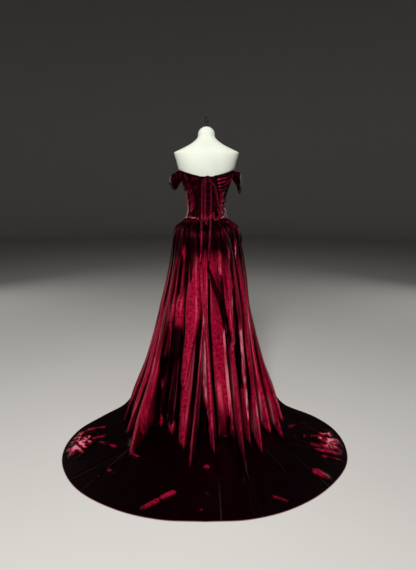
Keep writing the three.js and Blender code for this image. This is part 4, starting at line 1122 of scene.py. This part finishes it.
def skirt_grid(per_fold, rows):
    """The whole skirt as grid[round, down], with growing angle, and the painted shade of each point.
    Relief is added along the normal: gathers at the waist, single creases, long thin ridges, crushed
    places, and on the floor low folds and crumples at both ends of the train. The painted shade is
    1 minus the crest, darker on the hips, in creases, in random patches and on the train, with painted
    pale highlights on rims, gleams and crumples."""
    q = np.arange(FOLD_COUNT * per_fold) / per_fold
    lines = skirt_lines(q)
    t = np.arange(rows + 1) / rows
    shares = t * lerp(0.6, 1, ease(t, 0, 0.45))
    shares[-2] = lerp(shares[-2], 1, 0.85)  # a narrow last row, so that the cut edge stays crisp
    grid = respaced(lines, shares)[::-1]
    grid, crest = grid[..., :3], grid[..., 3]
    q = q[::-1][:, None]
    normals = grid_normals(grid, ring=True)
    x, y, z = grid[..., 0], grid[..., 1], grid[..., 2]
    laid = 1 - ease(z, 2, 30)
    hang = 1 - laid
    crown = np.maximum(crest, 0)
    waist = ease(z, 820, 960) * (1 - ease(z, 1012, 1040) * 0.75)
    gathers = np.maximum(np.sin(2 * np.pi * (1.5 * q + 0.8 * uneven(q, z, 0.8, 260, 12))), 0) ** 2
    gathers *= 3 + 10 * np.maximum(uneven(q, z, 0.45, 180, 13), 0)
    pencil = 0.9 * uneven(q, z, 0.2, 420, 14) + 0.4 * uneven(q, z, 0.1, 260, 15)
    pencil *= 0.5 + 1.5 * ease(z, 620, 900)
    rims = 3.2 * bell(crest - 0.8, 0.16) * (0.6 + 0.4 * uneven(q, z, 0.5, 200, 20))
    # The centre back seam draws the cloth up in small puckers.
    along_seam = (y > 0) * bell(x - lerp(-12, 14, ease(z, 100, 800)), 9)
    puckers = along_seam * (2.4 * uneven(x, z, 7, 9, 21) + 1.4 * np.cos(2 * np.pi * z / 11))
    crush = 0.9 * uneven(q, z, 0.3, 60, 16)
    tongues, darts = laid_over(TONGUES, x, y, z), laid_over(DARTS, x, y, z)
    low_folds = 0.6 * np.maximum(uneven(q, t[None], 0.45, 0.16, 17), 0)
    ends = bell(x - 625, 70) * bell(y - 700, 95) + bell(x + 620, 65) * bell(y - 690, 85)
    crease, fine = 1 - np.abs(uneven(x, y, 40, 26, 18)), 1 - np.abs(uneven(x, y, 19, 15, 19))
    crumple = np.minimum(ends * 1.4, 1) * (17 * crease**3 + 9 * fine**2)
    for x0, y0, x1, y1, height, half in WRINKLES:
        crumple = np.maximum(crumple, height * ridge_between(x, y, x0, y0, x1, y1, half))
    rim = ease(1 - t[None], 0, 0.05)
    relief = waist * gathers + hang * (pencil + crush + rims * crown + puckers + tongues - darts)
    relief += laid * rim * (low_folds + crumple)
    relief *= ease(t[None], 0, 0.02)
    grid = grid + normals * relief[..., None]
    grid[..., 2] = np.maximum(grid[..., 2], SKIRT_WALL)
    patches = 0.85 * np.maximum(uneven(q, z, 0.9, 230, 22), 0)
    # Painted shade on the flanks that face away from the light round the skirt, less of it in front.
    around = unit(stack(y, -x, 0 * z))
    painted_side_shade = np.maximum(-np.sum(normals * around, axis=-1), 0) * np.where(y > 0, 1, 0.6)
    # Painted shade: dark in the creases, in random patches and on flanks turned from the light, and
    # lighter over the laid-over creases.
    shade = ease(0.9 - crest, 0, 1) + patches + 0.75 * painted_side_shade
    shade *= 1 - 0.8 * ease(tongues, 0, 6)
    # Painted shade over the hips, a little lighter on the gathers' ridges; the darts and the train lying
    # on the floor are painted dark as well.
    hip_shade = 0.98 * ease(z, 780 - 260 * np.minimum(np.abs(x) / 210, 1), 930)
    hip_shade -= 0.3 * np.clip(waist * gathers / 7, 0, 1)
    shade = np.maximum.reduce([shade, ease(darts, 0, 5), hip_shade, laid])
    # Painted pale highlights along the rims of the folds and along the gleams; on the floor only the
    # crumples get painted glints.
    pale = (y > 0) * hang * bell(crest - 0.62, 0.24) * ease(uneven(q, z, 0.5, 120, 24), -0.5, 0.5)
    pale = pale * (1 - ease(darts, 0, 5)) * (1 - 0.6 * ease(z, 700, 900))
    shade = np.minimum(shade, 1) - 0.9 * pale
    gleams = laid_over(GLEAMS, x, y, z) * (0.8 + 0.3 * uneven(x, z, 9, 26, 25))
    shade = lerp(shade, -0.9, np.clip(gleams, 0, 1))
    # Painted glints on the train's crumples, broken up by a speckle, with a paler painted highlight at
    # both ends.
    spark = rim * laid * ease(crumple + 2.5 * uneven(x, y, 20, 12, 23), 4, 9)
    speckle = uneven(x, y, 13, 9, 26)
    spark *= 1 - np.minimum(1.6 * ends, 0.9) * ease(-speckle, 0, 0.5)
    return grid, lerp(shade, -0.1 - 1.1 * np.minimum(1.6 * ends, 1) * ease(speckle, -0.6, 0.1), spark)


SKIRT_PANELS = (
    # name, fold number at its first and last seam, flat width and length in metres
    ("side_left", 0.25, 3.75, 0.9, 1.5),
    ("back_left", 3.75, 9.25, 1.1, 1.9),
    ("back_right", 9.25, 13.6, 1.0, 1.9),
    ("side_right", 13.6, 18.25, 0.9, 1.5),
    ("front", 18.25, 30.25, 1.6, 1.1),
)


def make_skirt(materials, per_fold, rows):
    grid, shade = skirt_grid(per_fold, rows)
    normals = grid_normals(grid, ring=True)
    n = len(grid)
    for name, first, last, width, length in SKIRT_PANELS:
        start, count = n - 1 - round(last * per_fold), round(last * per_fold) - round(first * per_fold)
        take = (start + np.arange(count + 1)) % n
        part = grid[take].copy()
        # A hair comes off each edge at the seam, along the cloth, so that two panels never touch.
        part[0] += unit(part[1] - part[0]) * 0.01
        part[-1] += unit(part[-2] - part[-1]) * 0.01
        piece = shell(f"cloth_{name}", part, SKIRT_WALL, normals[take], shade[take])
        finish_piece(piece, materials["velvet"], [f"skirt_{name}"])
    rolled_hem(grid[:, -1].copy(), materials)


def rolled_hem(line, materials):
    """A thin roll all round the cut edge: rings of radius (side cos a + up sin a) at each point."""
    line[:, 2] = HEM_RADIUS
    side = unit(np.cross(np.roll(line, -1, axis=0) - np.roll(line, 1, axis=0), [0, 0, 1.0]))
    a = (np.arange(HEM_SIDES) * 2 * np.pi / HEM_SIDES)[:, None]
    rings = line[:, None] + HEM_RADIUS * (side[:, None] * np.cos(a) + np.array([0, 0, 1.0]) * np.sin(a))
    index = np.arange(len(line) * HEM_SIDES).reshape(-1, HEM_SIDES)
    index = np.pad(index, ((0, 1), (0, 1)), mode="wrap")
    long = np.arange(len(line)) * 0.007
    uv = np.stack(np.broadcast_arrays(a.T / 100, long[:, None]), axis=-1).reshape(-1, 2)
    hem = put_mesh("rolled_hem", rings.reshape(-1, 3), quads_of(index.T), uv=uv)
    # The hem's pale pink is partly a painted highlight along the cut edge.
    finish_piece(hem, materials["hem"])


# ---------- the bow and its tails ----------

BOW_LINES = {
    # name: sideways place, height and lift off the cloth of each point
    "tail_left": (
        (4, 1276, 5), (20, 1246, 5.5), (24, 1180, 7), (26, 1110, 9), (27, 1050, 9), (28, 985, 7),
        (28, 920, 6), (29, 860, 6), (35, 812, 6),
    ),
    "tail_right": (
        (-15, 1276, 5), (-24, 1246, 5.5), (-27, 1180, 7), (-26, 1110, 9), (-24, 1050, 9),
        (-22, 985, 10), (-18, 920, 8), (-14, 860, 6), (-13, 816, 6),
    ),
    "loop_left": (
        (3, 1276, 7.1), (7, 1230, 10), (7, 1160, 10), (8, 1090, 12), (5, 1050, 13), (-2, 1014, 14),
    ),
    "loop_right": (
        (-14, 1276, 7.1), (-18, 1262, 8), (-46, 1230, 9), (-56, 1200, 9), (-66, 1140, 9),
        (-78, 1090, 10), (-74, 1058, 11), (-54, 1040, 13), (-42, 1058, 12), (-40, 1084, 12),
    ),
}
RIBBON_WIDTH = 13


def back_surface(grid, x, z):
    """How far back the gown reaches beside x at height z."""
    if z > 1052:
        half = float(read(TORSO, "z", "half", z)) + 4
        angle = math.degrees(math.asin(max(-1, min(1, x / half))))
        return float(bodice_point(angle, z, BODICE_WALL)[1])
    near = (np.abs(grid[..., 0] - x) < 16) & (np.abs(grid[..., 2] - z) < 9) & (grid[..., 1] > 0)
    floor = float(bodice_point(0, 1052, BODICE_WALL)[1])
    return max(float(grid[..., 1][near].max()), floor) if near.any() else floor


def make_bow(materials):
    grid, _ = skirt_grid(8, 110)
    for name, line in BOW_LINES.items():
        knots = np.array([(x, back_surface(grid, x, z) + lift, z) for x, z, lift in line], float)
        path = smooth_lines(knots[None], 20)
        path = respaced(path, np.linspace(0, 1, 90))[0]
        twist = 0.35 * np.sin(np.linspace(0, 1, 90) * 9 + len(name))
        face = unit(stack(path[:, 0] * 0.004 + twist * 0.5, 1, 0.15))
        ahead = unit(np.gradient(path, axis=0))
        side = unit(np.cross(ahead, face))
        ribbon = shell(f"bow_{name}", strip(path, side, face, RIBBON_WIDTH, 0.9, 0.9), 0.8)
        finish_piece(ribbon, materials["ribbon"], [f"ribbon_{name}"])
    y = back_surface(grid, 0, 1283)
    # The knot is a squashed ball whose skin folds where the ribbon wraps it.
    v = np.linspace(-0.49, 0.49, 40)[:, None] * np.pi
    u = np.arange(64)[None] * 2 * np.pi / 64
    wrap = 1 + 0.09 * np.cos(3 * v + 1.2 * np.cos(u)) - 0.12 * bell(np.sin(u), 0.25) * bell(v, 0.5)
    rings = stack(
        -6 + 17 * np.sin(v) * wrap,
        y + 5.3 + 6 * np.cos(v) * np.cos(u) * wrap,
        1277.8 + 8.6 * np.cos(v) * np.sin(u) * wrap,
    )
    knot = tube_mesh("bow_knot", rings[:, ::-1])
    finish_piece(knot, materials["lacing"], ["ribbon_knot"])


# ---------- the beads ----------

BEAD_RUNS = (
    # from angle and height, to angle and height, how many, how far they scatter in mm
    (-46, 1195, -52, 1060, 26, 9),
    (60, 1215, 66, 1062, 34, 11),
    (22, 1052, 60, 1056, 26, 5),
    (-24, 1052, -62, 1056, 22, 5),
)


def make_beads(materials, size):
    """Seed beads sewn in loose rows: small eight-sided balls, each with its own size."""
    rng = np.random.default_rng(5)
    angles, heights = [], []
    for a0, z0, a1, z1, count, scatter in BEAD_RUNS:
        t = rng.uniform(0, 1, count)
        angles.append(lerp(a0, a1, t) + rng.normal(0, scatter / 2.6, count))
        heights.append(lerp(z0, z1, t) + rng.normal(0, scatter * 0.6, count))
    angle, z = np.concatenate(angles), np.concatenate(heights)
    at, _ = on_body(angle, z, BODICE_WALL + 0.9)
    v = np.linspace(-0.42, 0.42, 5)[:, None] * np.pi
    u = np.arange(8)[None] * 2 * np.pi / 8
    ball = stack(np.cos(v) * np.cos(u), np.cos(v) * np.sin(u), np.sin(v) + 0 * u)
    scale = size / 2 * rng.uniform(0.7, 1.2, len(at))
    beads = [body_of_rings(f"bead_{k}", p + ball * s) for k, (p, s) in enumerate(zip(at, scale))]
    finish_piece(joined("seed_beads", beads), materials["bead"])


# ---------- the studio ----------

CAMERA = {"at": (-0.009, 2.5, 1.15), "pitch": 11.564, "lens": 26.08}
LIGHTS = (
    # name, place, aim, size, watts
    ("key", (0.35, 2.7, 3.4), (0, 0.35, 0.5), 1.5, 175),
    ("side_left", (3.2, -2.4, 1.6), (0, 0, 0.8), 1.2, 15),
    ("side_right", (-3.2, -2.4, 1.6), (0, 0, 0.8), 1.2, 15),
    ("fill_left", (3.6, 0.8, 1.8), (0, 0.2, 0.7), 1.6, 7),
    ("fill_right", (-3.6, 0.8, 1.8), (0, 0.2, 0.7), 1.6, 7),
)
# The studio's bowl: flat to the first radius, then a curve of the second radius up to the wall.
BOWL = {"flat": 11000, "curve": 4000, "height": 9000}


def make_stage(materials):
    """A pale floor that curves up far behind into a plain wall all round, soft boxes and the
    camera."""
    scene = bpy.context.scene
    scene.view_settings.view_transform = "Standard"
    world = bpy.data.worlds.new("studio")
    scene.world = world
    world.use_nodes = True
    world.node_tree.nodes["Background"].inputs[0].default_value = (0.8, 0.8, 0.82, 1)
    world.node_tree.nodes["Background"].inputs[1].default_value = 0.02
    a = np.arange(96) * 2 * np.pi / 96
    rise = np.linspace(0, np.pi / 2, 16)
    r = np.concatenate([[1, 2000, 4500], BOWL["flat"] + BOWL["curve"] * np.sin(rise)])
    z = np.concatenate([[0, 0, 0], BOWL["curve"] * (1 - np.cos(rise))])
    r, z = np.append(r, r[-1])[:, None], np.append(z, BOWL["height"])[:, None]
    rings = stack(r * np.cos(a), r * np.sin(a), z)
    wrap = np.pad(np.arange(r.size * len(a)).reshape(-1, len(a)), ((0, 0), (0, 1)), mode="wrap")
    floor = put_mesh("studio_floor", rings.reshape(-1, 3) - [0, 0, 0.4], quads_of(wrap))
    floor.data.materials.append(materials["floor"])
    for name, place, aim, size, watts in LIGHTS:
        light = bpy.data.lights.new(name, "AREA")
        light.shape, light.size, light.energy = "DISK", size, watts
        lamp = bpy.data.objects.new(name, light)
        lamp.location = place
        lamp.rotation_mode = "QUATERNION"
        lamp.rotation_quaternion = (Vector(aim) - Vector(place)).to_track_quat("-Z", "Y")
        scene.collection.objects.link(lamp)
    data = bpy.data.cameras.new("camera")
    data.lens, data.sensor_width, data.clip_end = CAMERA["lens"], 36, 100
    camera = bpy.data.objects.new("camera", data)
    camera.location = CAMERA["at"]
    camera.rotation_euler = (math.radians(90 - CAMERA["pitch"]), 0, math.pi)
    scene.collection.objects.link(camera)
    scene.camera = camera


# ---------- the add-on ----------


class GownSizes(bpy.types.PropertyGroup):
    """Sizes that change from gown to gown."""

    bead: FloatProperty(
        name="Bead", description="Seed bead across", default=0.003, min=0.001, max=0.008, unit="LENGTH"
    )
    columns: IntProperty(
        name="Columns a fold", description="How fine the skirt is round", default=24, min=8, max=32
    )
    rows: IntProperty(
        name="Rows", description="How fine the skirt is downwards", default=160, min=40, max=240
    )


def colour_property(name, description, code):
    return FloatVectorProperty(
        name=name, description=description, default=hex_colour(code), subtype="COLOR", min=0, max=1
    )


class GownColours(bpy.types.PropertyGroup):
    """Colours that change from gown to gown."""

    velvet: colour_property("Velvet", "The pile where it is crushed", "a20c32")
    velvet_deep: colour_property("Deep velvet", "The pile where it stands", "3c020e")
    # Painted highlight: the pale pink painted on crisp crests, gleams and crumples.
    velvet_painted_highlight: colour_property("Pale velvet", "The pile on crisp crests and crushed places", "cf7f8a")
    # Painted shade: the near-black painted where shade falls, in creases and on the floor.
    velvet_shade: colour_property("Velvet in creases", "The pile in creases and on the floor", "040001")
    gloss: colour_property("Gloss", "The colour of the light the pile throws back", "f0104c")
    sheen: colour_property("Sheen", "The pale colour along crests", "ff8fa6")
    ribbon: colour_property("Ribbon", "The satin ribbons", "480919")
    lacing: colour_property("Lacing", "The loops and the ribbon laced through them", "24050d")
    binding: colour_property("Binding", "The binding of the top edge", "080103")
    # Partly painted highlight: the rolled hem is real, and its pale pink stands in for its edge catching
    # the light.
    hem: colour_property("Hem", "The rolled hem's satin", "8a5560")
    form: colour_property("Form", "The dress form's jersey", "d2d6c8")
    metal: colour_property("Metal", "The stand's bronze lacquer", "3a332e")
    bead: colour_property("Beads", "The lightest seed beads", "d9899a")
    floor: colour_property("Floor", "The studio floor", "cbc8c3")


def materials_of(context):
    """The gown's materials, made once."""
    colours = context.scene.gown_colours
    known = bpy.data.materials
    recipes = {
        "velvet": ("panne_velvet", lambda name: velvet_material(colours)),
        "ribbon": ("satin_ribbon", lambda name: ribbon_material(colours)),
        "form": ("form_jersey", lambda name: cloth_material(name, colours.form, 1.2, 0.75)),
        "lacing": ("satin_lacing", lambda name: cloth_material(name, colours.lacing, 1.5, 0.42)),
        "binding": ("black_bias_binding", lambda name: cloth_material(name, colours.binding, 1.0, 0.6)),
        "hem": ("satin_hem", lambda name: cloth_material(name, colours.hem, 2.0, 0.4)),
        "metal": ("bronze_lacquered_steel", lambda name: metal_material(name, colours.metal)),
        "bead": ("glass_seed_beads", lambda name: bead_material(name, colours.ribbon, colours.bead)),
        "floor": ("matt_studio_floor", lambda name: floor_material(name, colours.floor)),
    }
    return {key: known.get(name) or make(name) for key, (name, make) in recipes.items()}


class GOWN_OT_stage(bpy.types.Operator):
    """Add the floor, the lights and the camera"""

    bl_idname = "gown.stage"
    bl_label = "Studio"

    def execute(self, context):
        make_stage(materials_of(context))
        return {"FINISHED"}


class GOWN_OT_form(bpy.types.Operator):
    """Add the dress form and its stand"""

    bl_idname = "gown.form"
    bl_label = "Dress form"

    def execute(self, context):
        make_form(materials_of(context))
        return {"FINISHED"}


class GOWN_OT_bodice(bpy.types.Operator):
    """Add the nine panels of the bodice"""

    bl_idname = "gown.bodice"
    bl_label = "Bodice"

    def execute(self, context):
        make_bodice(materials_of(context))
        return {"FINISHED"}


class GOWN_OT_opening(bpy.types.Operator):
    """Add the laced back opening with its loops and binding"""

    bl_idname = "gown.opening"
    bl_label = "Back opening"

    def execute(self, context):
        make_opening(materials_of(context))
        return {"FINISHED"}


class GOWN_OT_drapes(bpy.types.Operator):
    """Add the pleated bands round the top of the bodice"""

    bl_idname = "gown.drapes"
    bl_label = "Pleated bands"

    def execute(self, context):
        make_drapes(materials_of(context))
        return {"FINISHED"}


class GOWN_OT_sleeves(bpy.types.Operator):
    """Add the two off-the-shoulder bands"""

    bl_idname = "gown.sleeves"
    bl_label = "Sleeves"

    def execute(self, context):
        make_sleeves(materials_of(context))
        return {"FINISHED"}


class GOWN_OT_skirt(bpy.types.Operator):
    """Add the five gathered panels of the skirt and the rolled hem"""

    bl_idname = "gown.skirt"
    bl_label = "Skirt and train"

    def execute(self, context):
        sizes = context.scene.gown_sizes
        make_skirt(materials_of(context), sizes.columns, sizes.rows)
        return {"FINISHED"}


class GOWN_OT_bow(bpy.types.Operator):
    """Add the knot with its loops and tails"""

    bl_idname = "gown.bow"
    bl_label = "Bow"

    def execute(self, context):
        make_bow(materials_of(context))
        return {"FINISHED"}


class GOWN_OT_beads(bpy.types.Operator):
    """Sew the seed beads on the bodice"""

    bl_idname = "gown.beads"
    bl_label = "Seed beads"

    def execute(self, context):
        make_beads(materials_of(context), context.scene.gown_sizes.bead * 1000)
        return {"FINISHED"}


OPERATORS = (
    GOWN_OT_stage,
    GOWN_OT_form,
    GOWN_OT_bodice,
    GOWN_OT_opening,
    GOWN_OT_drapes,
    GOWN_OT_sleeves,
    GOWN_OT_skirt,
    GOWN_OT_bow,
    GOWN_OT_beads,
)


class GOWN_PT_panel(bpy.types.Panel):
    """Lists the gown's sizes and the pieces that can be made"""

    bl_idname = "GOWN_PT_panel"
    bl_label = "Velvet gown"
    bl_space_type = "VIEW_3D"
    bl_region_type = "UI"
    bl_category = "Gown"

    def draw(self, context):
        layout = self.layout
        for name in ("bead", "columns", "rows"):
            layout.prop(context.scene.gown_sizes, name)
        for name in GownColours.__annotations__:
            layout.prop(context.scene.gown_colours, name)
        for operator in OPERATORS:
            layout.operator(operator.bl_idname)


CLASSES = (GownSizes, GownColours, *OPERATORS, GOWN_PT_panel)


def register():
    for cls in CLASSES:
        bpy.utils.register_class(cls)
    bpy.types.Scene.gown_sizes = PointerProperty(type=GownSizes)
    bpy.types.Scene.gown_colours = PointerProperty(type=GownColours)


def unregister():
    del bpy.types.Scene.gown_sizes
    del bpy.types.Scene.gown_colours
    for cls in reversed(CLASSES):
        bpy.utils.unregister_class(cls)


def main():
    register()
    bpy.ops.gown.stage()
    bpy.ops.gown.form()
    bpy.ops.gown.bodice()
    bpy.ops.gown.opening()
    bpy.ops.gown.drapes()
    bpy.ops.gown.sleeves()
    bpy.ops.gown.skirt()
    bpy.ops.gown.bow()
    bpy.ops.gown.beads()


if __name__ == "__main__":
    main()
